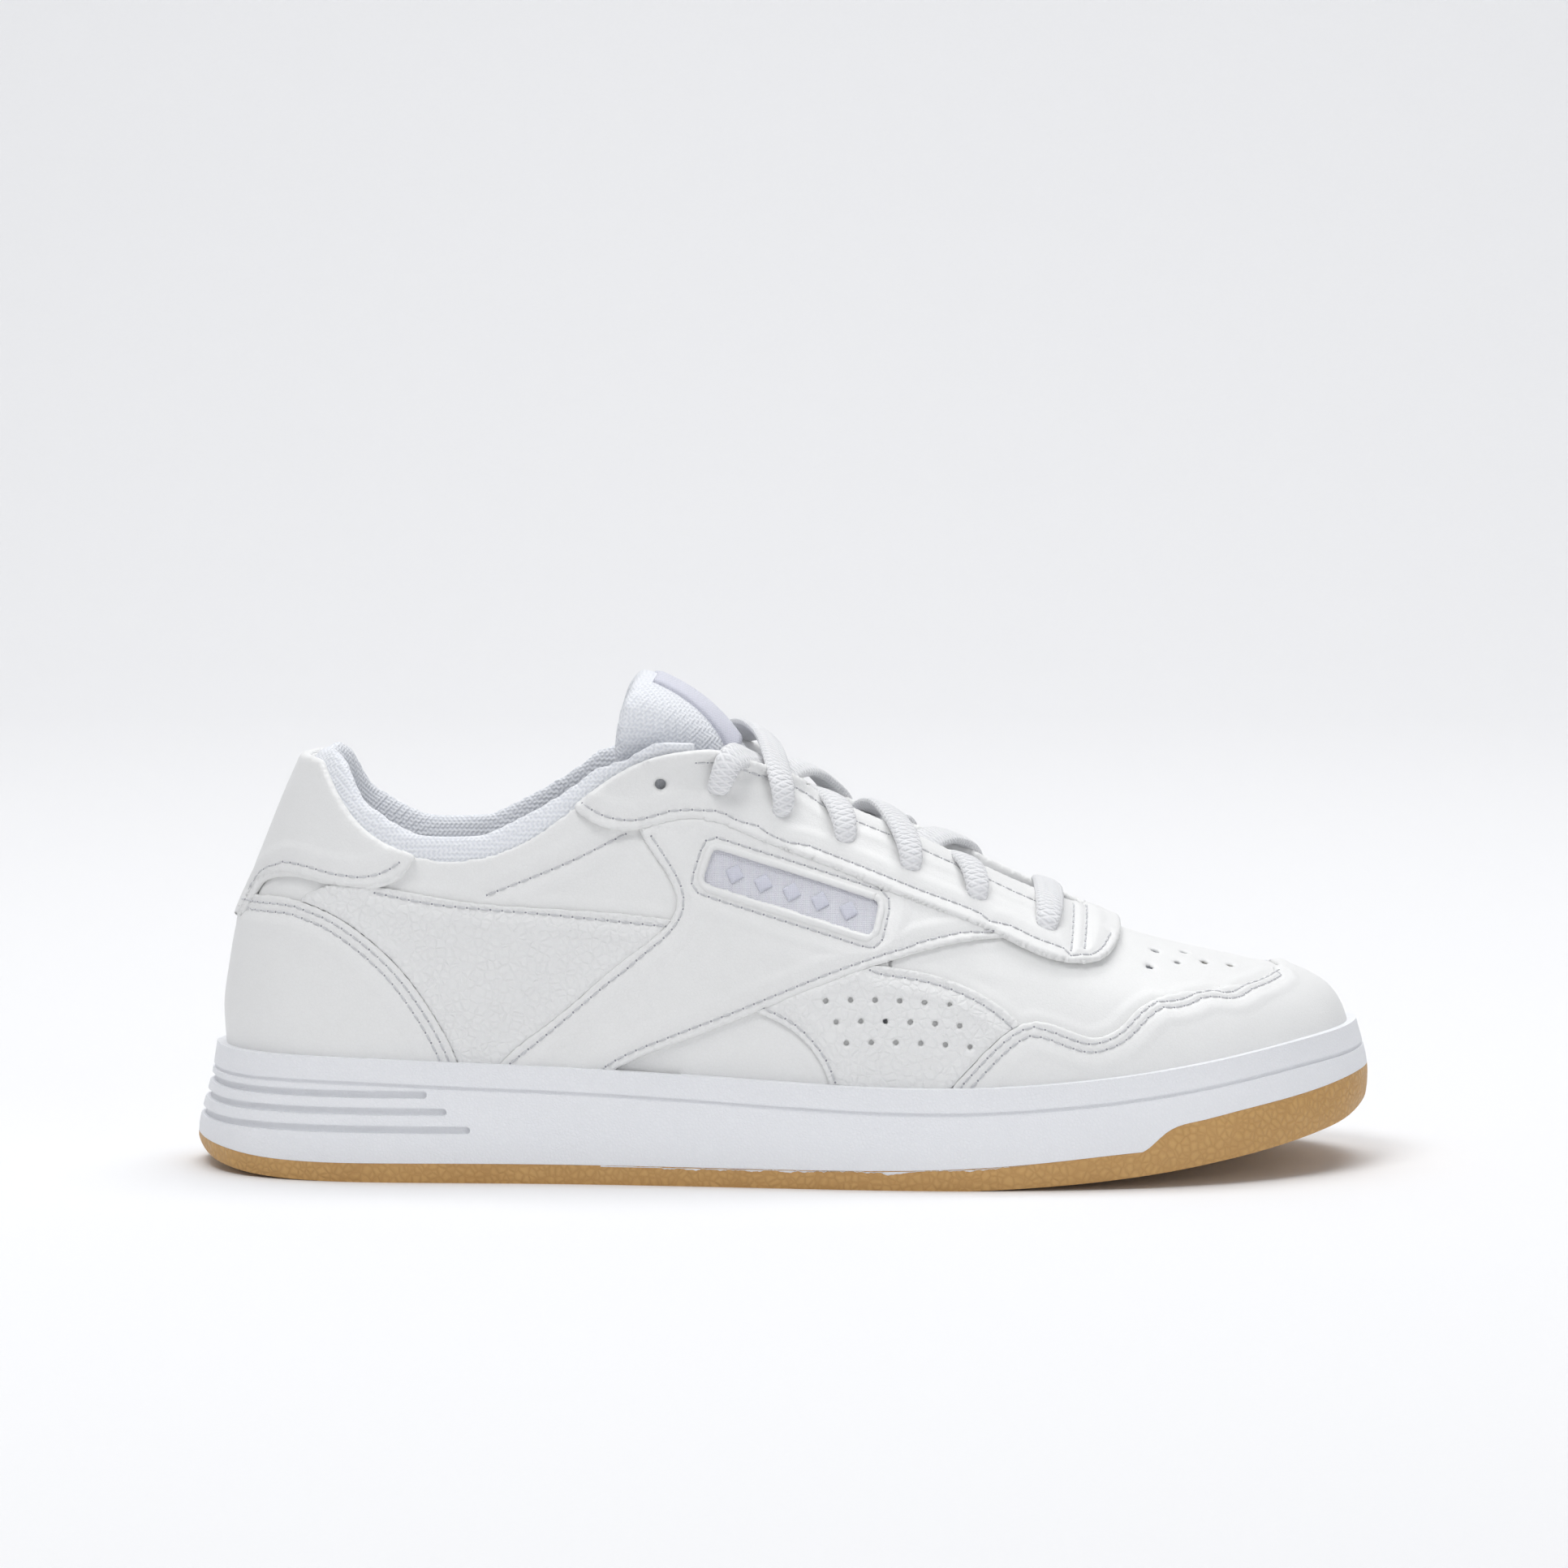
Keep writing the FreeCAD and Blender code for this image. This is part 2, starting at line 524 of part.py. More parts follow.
# overlays, each cut back from the one that lies over it
add("toe_cap", overlay_space.common(side_prism(TOE_CAP_OUT)))
add("heel_overlay", clear_of(overlay_space.common(side_prism(HEEL_OVERLAY_OUT)), [(HEEL_TAB_OUT, 0, -1)]))
window_hole = side_prism([[p] for p in WINDOW])
window_inset = []
for (s, z), (ds, dz) in zip(WINDOW, ((1, -1), (-1, -1), (-1, 1), (1, 1))):
    window_inset.append([(s + ds * SEAM_GAP, z + 2 * dz * SEAM_GAP)])
for name, side in (("lateral", -1), ("medial", 1)):
    saddle = overlay_space.common(side_prism(SADDLE_OUT, side))
    saddle = clear_of(saddle, [(EYESTAY_OUT, 0, -1)]).cut(window_hole)
    add("saddle_" + name, biggest(saddle))
    add("window_label_" + name, shell(*LABEL).common(side_prism(window_inset, side)))
    front = overlay_space.common(side_prism(FRONT_PANEL_OUT, side))
    front = clear_of(front, [(SADDLE_OUT, 1, -1), (TOE_CAP_OUT, -1, 1)])
    perfs = []
    for row in range(3):
        for k in range(6):
            s = PERF_START[0] + PERF_PITCH[0] * k + 2.6 * row
            z = PERF_START[1] - PERF_PITCH[1] * row + 0.35 * k - 0.10 * k * k
            perfs.append(Part.makeCylinder(PERF_R, 60, Vector(X(s), side * 20, H(z)), Vector(0, side, 0)))
    add("front_panel_" + name, biggest(front.cut(Part.makeCompound(perfs))))
    rear = overlay_space.common(side_prism(REAR_PANEL_OUT, side))
    rear = clear_of(rear, [(HEEL_OVERLAY_OUT, 1, 1), (SADDLE_OUT, -1, 1), (HEEL_TAB_OUT, 0, -1)])
    add("rear_panel_" + name, biggest(rear))

# ======================================================================
# Collar: padding in a textile skin, swelling into the opening at the heel
# ======================================================================
roll_at = smooth([(L(s), H(z)) for s, z in ROLL_TOP])
band_at = smooth([(L(s), H(z)) for s, z in BAND_BOTTOM])
bulge_at = smooth([(L(60), 1.0), (L(80), 0.75), (L(98), 0.12), (L(110), 0.0), (L(131), 0.0)])
SIDE_STATIONS = [PAD_FRONT, 122, 114, 105, 96, 87, 78, 70, 62, 53.5, COLLAR_CENTRE]
HEEL_ANGLES = [75, 60, 45, 30, 15, 0]


def spoke_point(spoke, z, o):
    kind, value, side = spoke
    if kind == "side":
        return wall_point(L(value), z, o, side)
    c = L(COLLAR_CENTRE)
    a = math.radians(value)
    lo = 0.0
    hi = L(60)
    for _ in range(40):
        r = (lo + hi) / 2
        s = c - r * math.cos(a)
        inside = s > back_at(z) - o and r * math.sin(a) < half_width(s, z, o, side)
        if inside:
            lo = r
        else:
            hi = r
    s = c - lo * math.cos(a)
    return Vector(s - SHOE_LENGTH / 2, centre_at(s) + side * lo * math.sin(a), z)


def pad_section(spoke, inset):
    """Closed section of the collar padding: flat outer face, round top, swollen inner face."""
    probe = spoke_point(spoke, H(95), MID[1]).x + SHOE_LENGTH / 2
    if spoke[0] == "side":
        probe = L(spoke[1])
    top = roll_at(probe) - inset
    low = band_at(probe)
    swell = clamp(bulge_at(probe))
    face = MID[1] - GLUE_GAP - inset

    def inner(depth):
        shape = smooth([(0, 0.0), (2.5, 0.25), (5, 0.55), (9, 0.85), (14, 1.0), (20, 0.85), (30, 0.15)])
        return -(COLLAR_BASE + COLLAR_BULGE * swell * clamp(shape(depth + inset), 0.0, 1.0)) + inset
    round_off = inner(2.5)
    crown = (face + round_off) / 2
    height = top - low
    profile = [(face, low), (face, low + 0.35 * height), (face, low + 0.7 * height), (face, top - 2.4),
               (face + (crown - face) * 0.3, top - 0.7), (crown, top),
               (round_off + (crown - round_off) * 0.3, top - 0.8), (round_off, top - 2.6)]
    profile += [(inner(depth), top - depth) for depth in (5, 9, 14, 20)] + [(inner(28), low)]
    pts = [spoke_point(spoke, z, o) for o, z in profile]
    curve = Part.BSplineCurve()
    curve.interpolate(Points=pts)
    return Part.Wire([curve.toShape(), Part.LineSegment(pts[-1], pts[0]).toShape()])


def pad(inset):
    spokes = [("side", s, -1) for s in SIDE_STATIONS]
    spokes += [("heel", a, -1) for a in HEEL_ANGLES]
    spokes += [("heel", a, 1) for a in reversed(HEEL_ANGLES[:-1])]
    spokes += [("side", s, 1) for s in reversed(SIDE_STATIONS)]
    return Part.makeLoft([pad_section(k, inset) for k in spokes], True, False)


padding = pad(0.0)
add("collar_lining", padding.cut(pad(COLLAR_SKIN_T)).common(foot(MID[1])).cut(drills))
lining_below = side_prism(UNDER_BAND, 0, 0, GLUE_GAP)
add("collar_foam", pad(COLLAR_SKIN_T + GLUE_GAP).cut(drills).cut(lining_below))

# ======================================================================
# Tongue: face and lining wrapped round a foam sheet
# ======================================================================
TONGUE_EDGE = [(118.5, 134), (114.5, 129), (111.5, 124), (107.5, 114), (106, 105), (108, 97), (115, 89),
               (131, 78.5), (160, 64), (192, 51.5), (214, 45.5), (231.5, 42.5)]
TONGUE_INSET = [(120.5, 134), (116.2, 129), (112.9, 123.6), (108.8, 113.6), (107.3, 105), (109.2, 97.7),
                (115.9, 90.2), (131.6, 79.7), (160.5, 65.2), (192.4, 52.8), (214.2, 46.8), (230.8, 43.9)]
# half width of the tongue from above, clear of the collar padding as the tongue tilts
TONGUE_SIDE = [(s, WU(y)) for s, y in ((85, 24), (112, 24), (140, 25.5), (165, 33), (190, 46), (240, 56))]
TONGUE_OUT = [TONGUE_EDGE, [(231.5, 200), (118.5, 200)]]
TONGUE_IN = [TONGUE_INSET, [(230.8, 200), (120.5, 200)]]
face_o = -TONGUE_DROP
foam_top = face_o - TONGUE_FABRIC_T
foam_low = foam_top - TONGUE_FOAM_T
back_o = foam_low - TONGUE_FABRIC_T
split_o = foam_top - 1.5   # seam between the face and the lining, round the foam's edge
tongue_plan = plan_prism([[(s, -y) for s, y in TONGUE_SIDE], TONGUE_SIDE[::-1]], H(20), H(240))
core_plan = plan_prism([[(s, TONGUE_FABRIC_T - y) for s, y in TONGUE_SIDE],
                        [(s, y - TONGUE_FABRIC_T) for s, y in TONGUE_SIDE[::-1]]], H(20), H(240))
tongue_all = shell(back_o, face_o).common(side_prism(TONGUE_OUT)).common(tongue_plan)
tongue_core = shell(foam_low, foam_top).common(side_prism(TONGUE_IN)).common(core_plan)
casing = tongue_all.cut(tongue_core)
add("tongue_face", casing.cut(foot(split_o + GLUE_GAP)))
add("tongue_lining", casing.common(foot(split_o)))
core = shell(foam_low + GLUE_GAP, foam_top - GLUE_GAP).common(side_prism(TONGUE_IN))
for dy in (-GLUE_GAP, GLUE_GAP):
    shifted = core_plan.copy()
    shifted.translate(Vector(0, dy, 0))
    core = core.common(shifted)
for dx, dz in ((GLUE_GAP, 0), (0, GLUE_GAP), (-GLUE_GAP, 0)):
    core = core.common(side_prism(TONGUE_IN, 0, dx, dz))
add("tongue_foam", core)
TONGUE_LABEL_OUT = [[(120, 121.5), (120, 111.5), (160, 111.5), (160, 121.5)]]
corner = Vector(-SHOE_LENGTH / 2, -TONGUE_LABEL_W / 2, 0)
label_box = Part.makeBox(SHOE_LENGTH, TONGUE_LABEL_W, 2 * WIDE, corner)
label_space = shell(face_o + GLUE_GAP, face_o + GLUE_GAP + LABEL_T)
add("tongue_label", label_space.common(side_prism(TONGUE_LABEL_OUT)).common(label_box))

# ======================================================================
# Sole: gum outsole, white cup, foam wedge, insole board, sockliner
# ======================================================================
SOLE_OUTER = [(6, -20), (20, -33), (45, -39.8), (80, -41.8), (120, -45.8), (160, -51.8), (195, -55),
              (230, -53), (260, -44.3), (282, -29.8), (295, -13.4)]
SOLE_INNER = [(297, 22), (285, 38.5), (265, 48.7), (240, 54.4), (215, 55.5), (190, 52.6), (160, 46.2),
              (125, 40.4), (95, 38.6), (60, 39.4), (30, 36.8), (10, 23)]
SOLE_PLAN = [(0, 0)] + SOLE_OUTER + [(300, 6)] + SOLE_INNER
spring_at = smooth([(L(s), H(z)) for s, z in [(0, 0), (196, 0)] + BOTTOM_TOE[1:]])
# how far the side wall leans in, by height above the curved bottom
lean_at = smooth([(-6, -2.4), (0, -1.0), (4, -0.1), (8, 0), (12, -0.6), (16, -1.6), (20, -2.8), (26, -4.1),
                  (31, -4.8), (42, -6.2)])


PLAN_STEPS = 60


def dense_plan():
    """Evenly spaced points round the sole's plan, each with its outward normal."""
    base = closed_curve([Vector(X(s), WS(y), 0) for s, y in SOLE_PLAN])
    pts = base.discretize(Number=PLAN_STEPS + 1)[:-1]
    out = []
    for i in range(PLAN_STEPS):
        t = pts[(i + 1) % PLAN_STEPS] - pts[i - 1]
        n = Vector(t.y, -t.x, 0)
        n.normalize()
        out.append((pts[i], n))
    middle = sum((p.dot(n) for p, n in out))
    return out if middle > 0 else [(p, n * -1) for p, n in out]


PLAN = dense_plan()
SOLE_LEVELS = [-8, -3, 1, 5, 9, 13, 17, 21, 25, 29, 33, 37, 41]
sole_cache = {}


def sole_body(e):
    """Solid inside the sole's side wall, grown by e."""
    key = round(e, 3)
    if key not in sole_cache:
        wires = []
        for z in SOLE_LEVELS:
            pts = []
            for p, n in PLAN:
                h = H(z) - 0.85 * spring_at(p.x + SHOE_LENGTH / 2)
                q = p + n * (lean_at(h) + e)
                pts.append(Vector(q.x, q.y, H(z)))
            wires.append(closed_wire(pts))
        sole_cache[key] = Part.makeLoft(wires, True, False)
    return sole_cache[key]


above_bottom = side_prism([BOTTOM_HEEL, BOTTOM_TOE, [(304, 260), (-3, 260)]])
ground = Part.makeBox(2 * WIDE + SHOE_LENGTH, 2 * WIDE, 3 * WIDE, Vector(-WIDE - SHOE_LENGTH / 2, -WIDE, 0))
body = sole_body(0).common(above_bottom).common(ground)

BUMPER_OUT = [BUMPER, [(304, 0), (238, 0)]]
slab = body.common(below(SLAB, -GLUE_GAP))
toe_band = body.cut(sole_body(-(BUMPER_T - GLUE_GAP))).common(side_prism(BUMPER_OUT, dz=-GLUE_GAP))
treads = []
for first, count in TREAD_ROWS:
    for k in range(count):
        s = L(first) + TREAD_PITCH * k
        corner = Vector(s - SHOE_LENGTH / 2, -SOLE_WIDTH / 2, 0)
        treads.append(Part.makeBox(TREAD_W, SOLE_WIDTH, TREAD_D, corner))
treads = Part.makeCompound(treads).common(sole_body(-TREAD_MARGIN))
add("outsole", slab.fuse(toe_band).cut(treads))

cup = body.common(between(SLAB, 0, CUP_TOP, 0))
bumper = side_prism(BUMPER_OUT).common(body.cut(sole_body(-BUMPER_T)))
# seat for the upper, wider where overlays reach down into the cup
seat = foot(BASE[1] + GLUE_GAP).common(above(BOARD))
overlay_outlines = (TOE_CAP_OUT, HEEL_OVERLAY_OUT, SADDLE_OUT, FRONT_PANEL_OUT, REAR_PANEL_OUT)
overlays = [side_prism(runs) for runs in overlay_outlines]
overlay_seat = shell(BASE[1], OVER[1] + GLUE_GAP).common(above(BOARD))
overlay_seat = overlay_seat.common(overlays[0].multiFuse(overlays[1:]))
# pocket for the foam wedge
floor_line = [(s, z + CUP_FLOOR_T) for s, z in SLAB]
pocket = foot(POCKET_MARGIN).common(between(floor_line, 0, BOARD, 0.02))
# three grooves round the heel, and the line under the rolled lip
groove_r = RIB_GROOVE_W / 2
inner_body = sole_body(-RIB_GROOVE_D)
grooves = []
for z, end in RIB_GROOVES:
    start = Vector(-SHOE_LENGTH / 2 - BEHIND, -WIDE, H(z) - groove_r)
    bar = Part.makeBox(L(end) + BEHIND, 2 * WIDE, RIB_GROOVE_W, start)
    tip = Part.makeCylinder(groove_r, 2 * WIDE, Vector(X(end), -WIDE, H(z)), Vector(0, 1, 0))
    grooves.append(bar.fuse(tip).cut(inner_body))
lip_low = [(s, z - LIP_H) for s, z in CUP_TOP]
lip_line = between(lip_low, -LIP_GROOVE_W / 2, lip_low, LIP_GROOVE_W / 2).cut(sole_body(-LIP_GROOVE_D))
cup = cup.cut([bumper, seat, overlay_seat, pocket, lip_line] + grooves)
add("cupsole", biggest(cup))

wedge = foot(POCKET_MARGIN - GLUE_GAP).common(between(floor_line, GLUE_GAP, BOARD, -GLUE_GAP))
add("foam_wedge", wedge)
board_space = foot(-BOARD_CLEARANCE)
add("insole_board", board_space.common(between(BOARD, GLUE_GAP, BOARD, BOARD_T)))
sock_space = foot(-SOCK_CLEARANCE)
sock_low = BOARD_T + GLUE_GAP
sock_mid = sock_low + SOCK_FOAM_T
add("sockliner_foam", sock_space.common(between(BOARD, sock_low, BOARD, sock_mid)))
add("sockliner_cover", sock_space.common(between(BOARD, sock_mid + GLUE_GAP, BOARD, sock_mid + SOCK_COVER_T)))


# ======================================================================
# Lace: one tube along its whole route, straight runs joined by tangent arcs
# ======================================================================
def rounded_path(pts, radius):
    """Straight runs joined by tangent arcs, as one wire."""
    edges = []
    start = pts[0]
    for i in range(1, len(pts) - 1):
        a = pts[i - 1] - pts[i]
        b = pts[i + 1] - pts[i]
        la = a.Length
        lb = b.Length
        a.normalize()
        b.normalize()
        turn = math.pi - a.getAngle(b)
        if turn < 0.02:
            continue
        r = min(radius[i], 0.45 * min(la, lb) / math.tan(turn / 2))
        d = r * math.tan(turn / 2)
        p = pts[i] + a * d
        q = pts[i] + b * d
        mid_dir = a + b
        mid_dir.normalize()
        m = pts[i] + mid_dir * (r / math.cos(turn / 2) - r)
        edges.append(Part.LineSegment(start, p).toShape())
        edges.append(Part.Arc(p, m, q).toShape())
        start = q
    edges.append(Part.LineSegment(start, pts[-1]).toShape())
    return Part.Wire(edges)


def tube(wire, radius):
    first = wire.Edges[0]
    direction = first.tangentAt(first.FirstParameter)
    circle = Part.Wire([Part.makeCircle(radius, first.Vertexes[0].Point, direction)])
    return wire.makePipeShell([circle], True, True)


EDGE_SHARE = 0.18          # share of a crossing between an eyelet and its throat edge
OVER_EDGE = LACE_R + LACE_GAP + 0.6
TOP_RISE = 3.0             # the top crossing passes this much higher over the steep throat edge
WALL_GAP = LACE_GAP + 0.35  # room for the wall's curve between two turning points
UNDER_EDGE = -(THICK[1] + LACE_R + WALL_GAP + 0.4)
LOOP_RISE = 0.9            # the lace stands this much higher where it turns into an eyelet
TOP_CROSSING_SHIFT = 2.5   # the top crossing sits forward of its eyelets, pushed down by the tongue
LAST_ROW = len(EYELETS) - 1


def eyelet_points(row, side):
    """Turning points of the lace inside and outside an eyelet."""
    p, n = eyelet_axis(row, side)
    return p - n * (THICK[1] + LACE_R + WALL_GAP), p + n * (LACE_R + LACE_GAP + LOOP_RISE)


line_at = smooth([(L(s), H(z)) for s, z in COLLAR_EDGE[-2:] + THROAT_LINE])


def throat_height(s, side):
    """Height of the throat edge, at the eyestay's outer face."""
    if half_width(s, line_at(s), THICK[1], side) > throat_at(s):
        return line_at(s)
    return surface_height(s, centre_at(s) + side * throat_at(s), THICK[1])


def edge_point(a, b, side, off):
    """Where the run from eyelet point a towards b crosses the throat edge, moved off the eyestay's face."""
    s = (a + (b - a) * EDGE_SHARE).x + SHOE_LENGTH / 2
    z = throat_height(s, side)
    return wall_point(s, z, THICK[1], side) + wall_normal(s, z, THICK[1], side) * off


def strand(row, side, lift, start, end):
    """Crossing from (row, side) up to the next row on the other side, over the tongue."""
    a = eyelet_points(row, side)[1 if start == "over" else 0]
    b = eyelet_points(row - 1, -side)[1 if end == "over" else 0]
    e1 = edge_point(a, b, side, OVER_EDGE if start == "over" else UNDER_EDGE)
    e2 = edge_point(b, a, -side, OVER_EDGE if end == "over" else UNDER_EDGE)
    if end == "over":
        e2.z += TOP_RISE
    m = (e1 + e2) * 0.5
    s = m.x + SHOE_LENGTH / 2 + (TOP_CROSSING_SHIFT if row == 2 else 0.0)
    return [e1, Vector(s - SHOE_LENGTH / 2, m.y, ridge_at(0.0)[1](s) + lift), e2]


def lace_half(side, lift):
    """From the bar at the closed end of the throat up to the top of the throat and its tucked end."""
    inner, outer = eyelet_points(LAST_ROW, side)
    pts = [(outer, LACE_BEND_R), (inner, LACE_BEND_R)]
    here = side
    start = "under"
    for row in range(LAST_ROW, 1, -1):
        end = "over" if row == 2 else "under"
        e1, m, e2 = strand(row, here, lift[row], start, end)
        pts += [(e1, 5.0), (m, 9.0), (e2, 5.0)]
        here = -here
        inner, outer = eyelet_points(row - 1, here)
        if end == "under":
            pts += [(inner, LACE_BEND_R), (outer, LACE_BEND_R)]
        else:
            pts += [(outer, LACE_BEND_R), (inner, LACE_BEND_R)]
        start = "over"
    for s, z in TAIL:
        off = AGLET_R + LACE_GAP + (TAIL_START_GAP if (s, z) == TAIL[0] else 0.05)
        pts.append((wall_point(L(s), H(z), -off, here), 12.0))
    return pts


# tucked ends lie along the inner wall towards the toe, (station, height); the last run is straight
# for the aglet's whole length
TAIL = [(140, 86.5), (148, 77.5), (158, 70), (169, 63.5), (181, 58), (193, 53), (205, 48.5), (219, 43.6),
        (243.5, 37)]
TAIL_START_GAP = 0.95
# height of each crossing over the middle of the throat, one strand above the other
UPPER = {6: 2.8, 5: 4.0, 4: 4.5, 3: 3.9, 2: 4.6}
LOWER = {6: -2.4, 5: -1.6, 4: -1.8, 3: -1.9, 2: -1.5}
bar = []
for side in (-1, 1):
    a = eyelet_points(LAST_ROW, side)[1]
    b = eyelet_points(LAST_ROW, -side)[1]
    bar.append((edge_point(a, b, side, OVER_EDGE), 6.0))
route = lace_half(-1, UPPER)[::-1] + bar + lace_half(1, LOWER)
points = [p for p, r in route]
turns = [r for p, r in route]


def aglet_at(points):
    """Tube round the lace's end."""
    direction = points[0] - points[1]
    direction.normalize()
    start = points[0] - direction * AGLET_L
    outer = Part.makeCylinder(AGLET_R, AGLET_L + 0.4, start, direction)
    return outer.cut(Part.makeCylinder(LACE_R + GLUE_GAP, AGLET_L, start, direction))


lace_wire = rounded_path(points, turns)
lace = tube(lace_wire, LACE_R)
swept = lace_wire.Length * math.pi * LACE_R ** 2
print("lace length", round(lace_wire.Length), "volume over swept volume", round(lace.Volume / swept, 4))
add("lace", lace)
add("lace_aglet_" + ("medial" if points[0].y > 0 else "lateral"), aglet_at(points))
add("lace_aglet_" + ("medial" if points[-1].y > 0 else "lateral"), aglet_at(points[::-1]))

for name, shape in nodes.items():
    print(name, shape.isValid(), len(shape.Solids), round(shape.Volume), round(shape.BoundBox.ZMin, 1))
os.makedirs("parts", exist_ok=True)
for name, shape in nodes.items():
    shape.exportStep("parts/" + name + ".step")
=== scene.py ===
import math

import bmesh
import bpy
import numpy as np
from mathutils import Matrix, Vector
from mathutils.bvhtree import BVHTree
from mathutils.kdtree import KDTree


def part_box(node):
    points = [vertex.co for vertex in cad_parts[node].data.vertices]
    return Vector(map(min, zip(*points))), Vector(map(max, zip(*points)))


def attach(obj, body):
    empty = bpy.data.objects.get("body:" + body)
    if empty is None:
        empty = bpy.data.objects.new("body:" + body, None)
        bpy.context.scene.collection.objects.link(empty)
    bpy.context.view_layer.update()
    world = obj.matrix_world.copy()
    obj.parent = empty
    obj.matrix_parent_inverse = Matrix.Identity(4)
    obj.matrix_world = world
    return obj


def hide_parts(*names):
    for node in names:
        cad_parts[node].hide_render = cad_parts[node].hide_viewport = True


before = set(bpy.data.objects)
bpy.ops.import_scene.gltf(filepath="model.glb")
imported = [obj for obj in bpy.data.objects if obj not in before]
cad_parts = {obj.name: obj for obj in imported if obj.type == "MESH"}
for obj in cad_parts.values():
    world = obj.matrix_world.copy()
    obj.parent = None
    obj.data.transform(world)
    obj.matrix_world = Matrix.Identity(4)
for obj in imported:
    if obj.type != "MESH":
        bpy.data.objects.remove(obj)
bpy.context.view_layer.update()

# Looks of a low-cut leather court shoe. Outlines are in millimetres as (station, height): a station
# is the distance from the heel of the sole, and the outer side of the shoe faces -Y.
MM = 0.001
HEEL_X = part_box("outsole")[0].x
LATERAL, MEDIAL = -1, 1
SIDES = (("lateral", LATERAL), ("medial", MEDIAL))
OUTSIDE = 0.25             # rays towards the shoe start this far from its middle plane
rng = np.random.default_rng(11)


# ======================================================================
# Helpers: objects and meshes
# ======================================================================
def to_x(station):
    return HEEL_X + station * MM


def new_object(name, mesh):
    ob = bpy.data.objects.new(name, mesh)
    bpy.context.scene.collection.objects.link(ob)
    return ob


def mesh_from(name, verts, faces, smooth=True):
    mesh = bpy.data.meshes.new(name)
    mesh.from_pydata([tuple(v) for v in verts], [], [tuple(f) for f in faces])
    mesh.polygons.foreach_set("use_smooth", [smooth] * len(mesh.polygons))
    mesh.update()
    return mesh


def cad_copy(name, *nodes):
    """A new object with the joined shapes of CAD nodes."""
    bm = bmesh.new()
    for n in nodes:
        bm.from_mesh(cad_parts[n].data)
    bmesh.ops.remove_doubles(bm, verts=bm.verts, dist=1e-6)
    mesh = bpy.data.meshes.new(name)
    bm.to_mesh(mesh)
    bm.free()
    return new_object(name, mesh)


def apply_modifiers(ob):
    graph = bpy.context.evaluated_depsgraph_get()
    mesh = bpy.data.meshes.new_from_object(ob.evaluated_get(graph))
    old = ob.data
    ob.modifiers.clear()
    ob.data = mesh
    bpy.data.meshes.remove(old)


def voxel_remesh(ob, size):
    mod = ob.modifiers.new("remesh", "REMESH")
    mod.mode = "VOXEL"
    mod.voxel_size = size
    mod.use_smooth_shade = True
    apply_modifiers(ob)


def coordinates(mesh):
    co = np.empty(len(mesh.vertices) * 3)
    mesh.vertices.foreach_get("co", co)
    return co.reshape(-1, 3)


def normals(mesh):
    no = np.empty(len(mesh.vertices) * 3)
    mesh.vertex_normals.foreach_get("vector", no)
    return no.reshape(-1, 3)


def set_coordinates(mesh, co):
    mesh.vertices.foreach_set("co", co.ravel())
    mesh.update()


def relax(mesh, steps, factor=0.5):
    """Smooths a mesh by moving each vertex towards the mean of its neighbours."""
    edges = np.empty(len(mesh.edges) * 2, int)
    mesh.edges.foreach_get("vertices", edges)
    a, b = edges.reshape(-1, 2).T
    count = np.bincount(a, minlength=len(mesh.vertices)) + np.bincount(b, minlength=len(mesh.vertices))
    co = coordinates(mesh)
    for _ in range(steps):
        total = np.empty_like(co)
        for k in range(3):
            total[:, k] = (np.bincount(a, co[b, k], len(co)) + np.bincount(b, co[a, k], len(co)))
        co += factor * (total / count[:, None] - co)
    set_coordinates(mesh, co)


def tree_of(*objects):
    """One ray-cast tree over the shapes of objects."""
    verts = []
    faces = []
    for ob in objects:
        first = len(verts)
        verts.extend(v.co.copy() for v in ob.data.vertices)
        faces.extend([first + i for i in p.vertices] for p in ob.data.polygons)
    return BVHTree.FromPolygons(verts, faces)


def side_hit(tree, station, height, side):
    """Where a ray from one side meets the shoe at a (station, height)."""
    start = Vector((to_x(station), side * OUTSIDE, height * MM))
    return tree.ray_cast(start, Vector((0, -side, 0)))[:2]


def dress(ob, mat, body="shoe", nodes=()):
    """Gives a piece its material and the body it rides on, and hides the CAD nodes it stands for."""
    ob.data.materials.clear()
    ob.data.materials.append(mat)
    if nodes:
        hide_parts(*nodes)
    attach(ob, body)
    return ob


# ======================================================================
# Materials
# ======================================================================
def put(tree, kind, inputs=None, **settings):
    """Adds a shader node; an input is a value or another node's output."""
    n = tree.nodes.new("ShaderNode" + kind)
    for key, value in settings.items():
        setattr(n, key, value)
    for key, value in (inputs or {}).items():
        if isinstance(value, bpy.types.NodeSocket):
            tree.links.new(value, n.inputs[key])
        else:
            n.inputs[key].default_value = value
    return n


def math_node(tree, operation, a, b=0.0, clamp=False):
    return put(tree, "Math", {0: a, 1: b}, operation=operation, use_clamp=clamp).outputs[0]


def plus(tree, a, b, clamp=False):
    return math_node(tree, "ADD", a, b, clamp)


def times(tree, a, b):
    return math_node(tree, "MULTIPLY", a, b)


def start_material(name, roughness, specular=0.5, sheen=0.0):
    mat = bpy.data.materials.new(name)
    mat.use_nodes = True
    tree = mat.node_tree
    shader = tree.nodes["Principled BSDF"]
    shader.inputs["Roughness"].default_value = roughness
    shader.inputs["Specular IOR Level"].default_value = specular
    shader.inputs["Sheen Weight"].default_value = sheen
    place = put(tree, "TexCoord").outputs["Object"]
    return mat, tree, shader, place


def cells(tree, place, size, feature="F1", randomness=1.0):
    """Cell pattern with cells about size metres across."""
    inputs = {"Vector": place, "Scale": 1 / size, "Randomness": randomness}
    return put(tree, "TexVoronoi", inputs, feature=feature).outputs["Distance"]


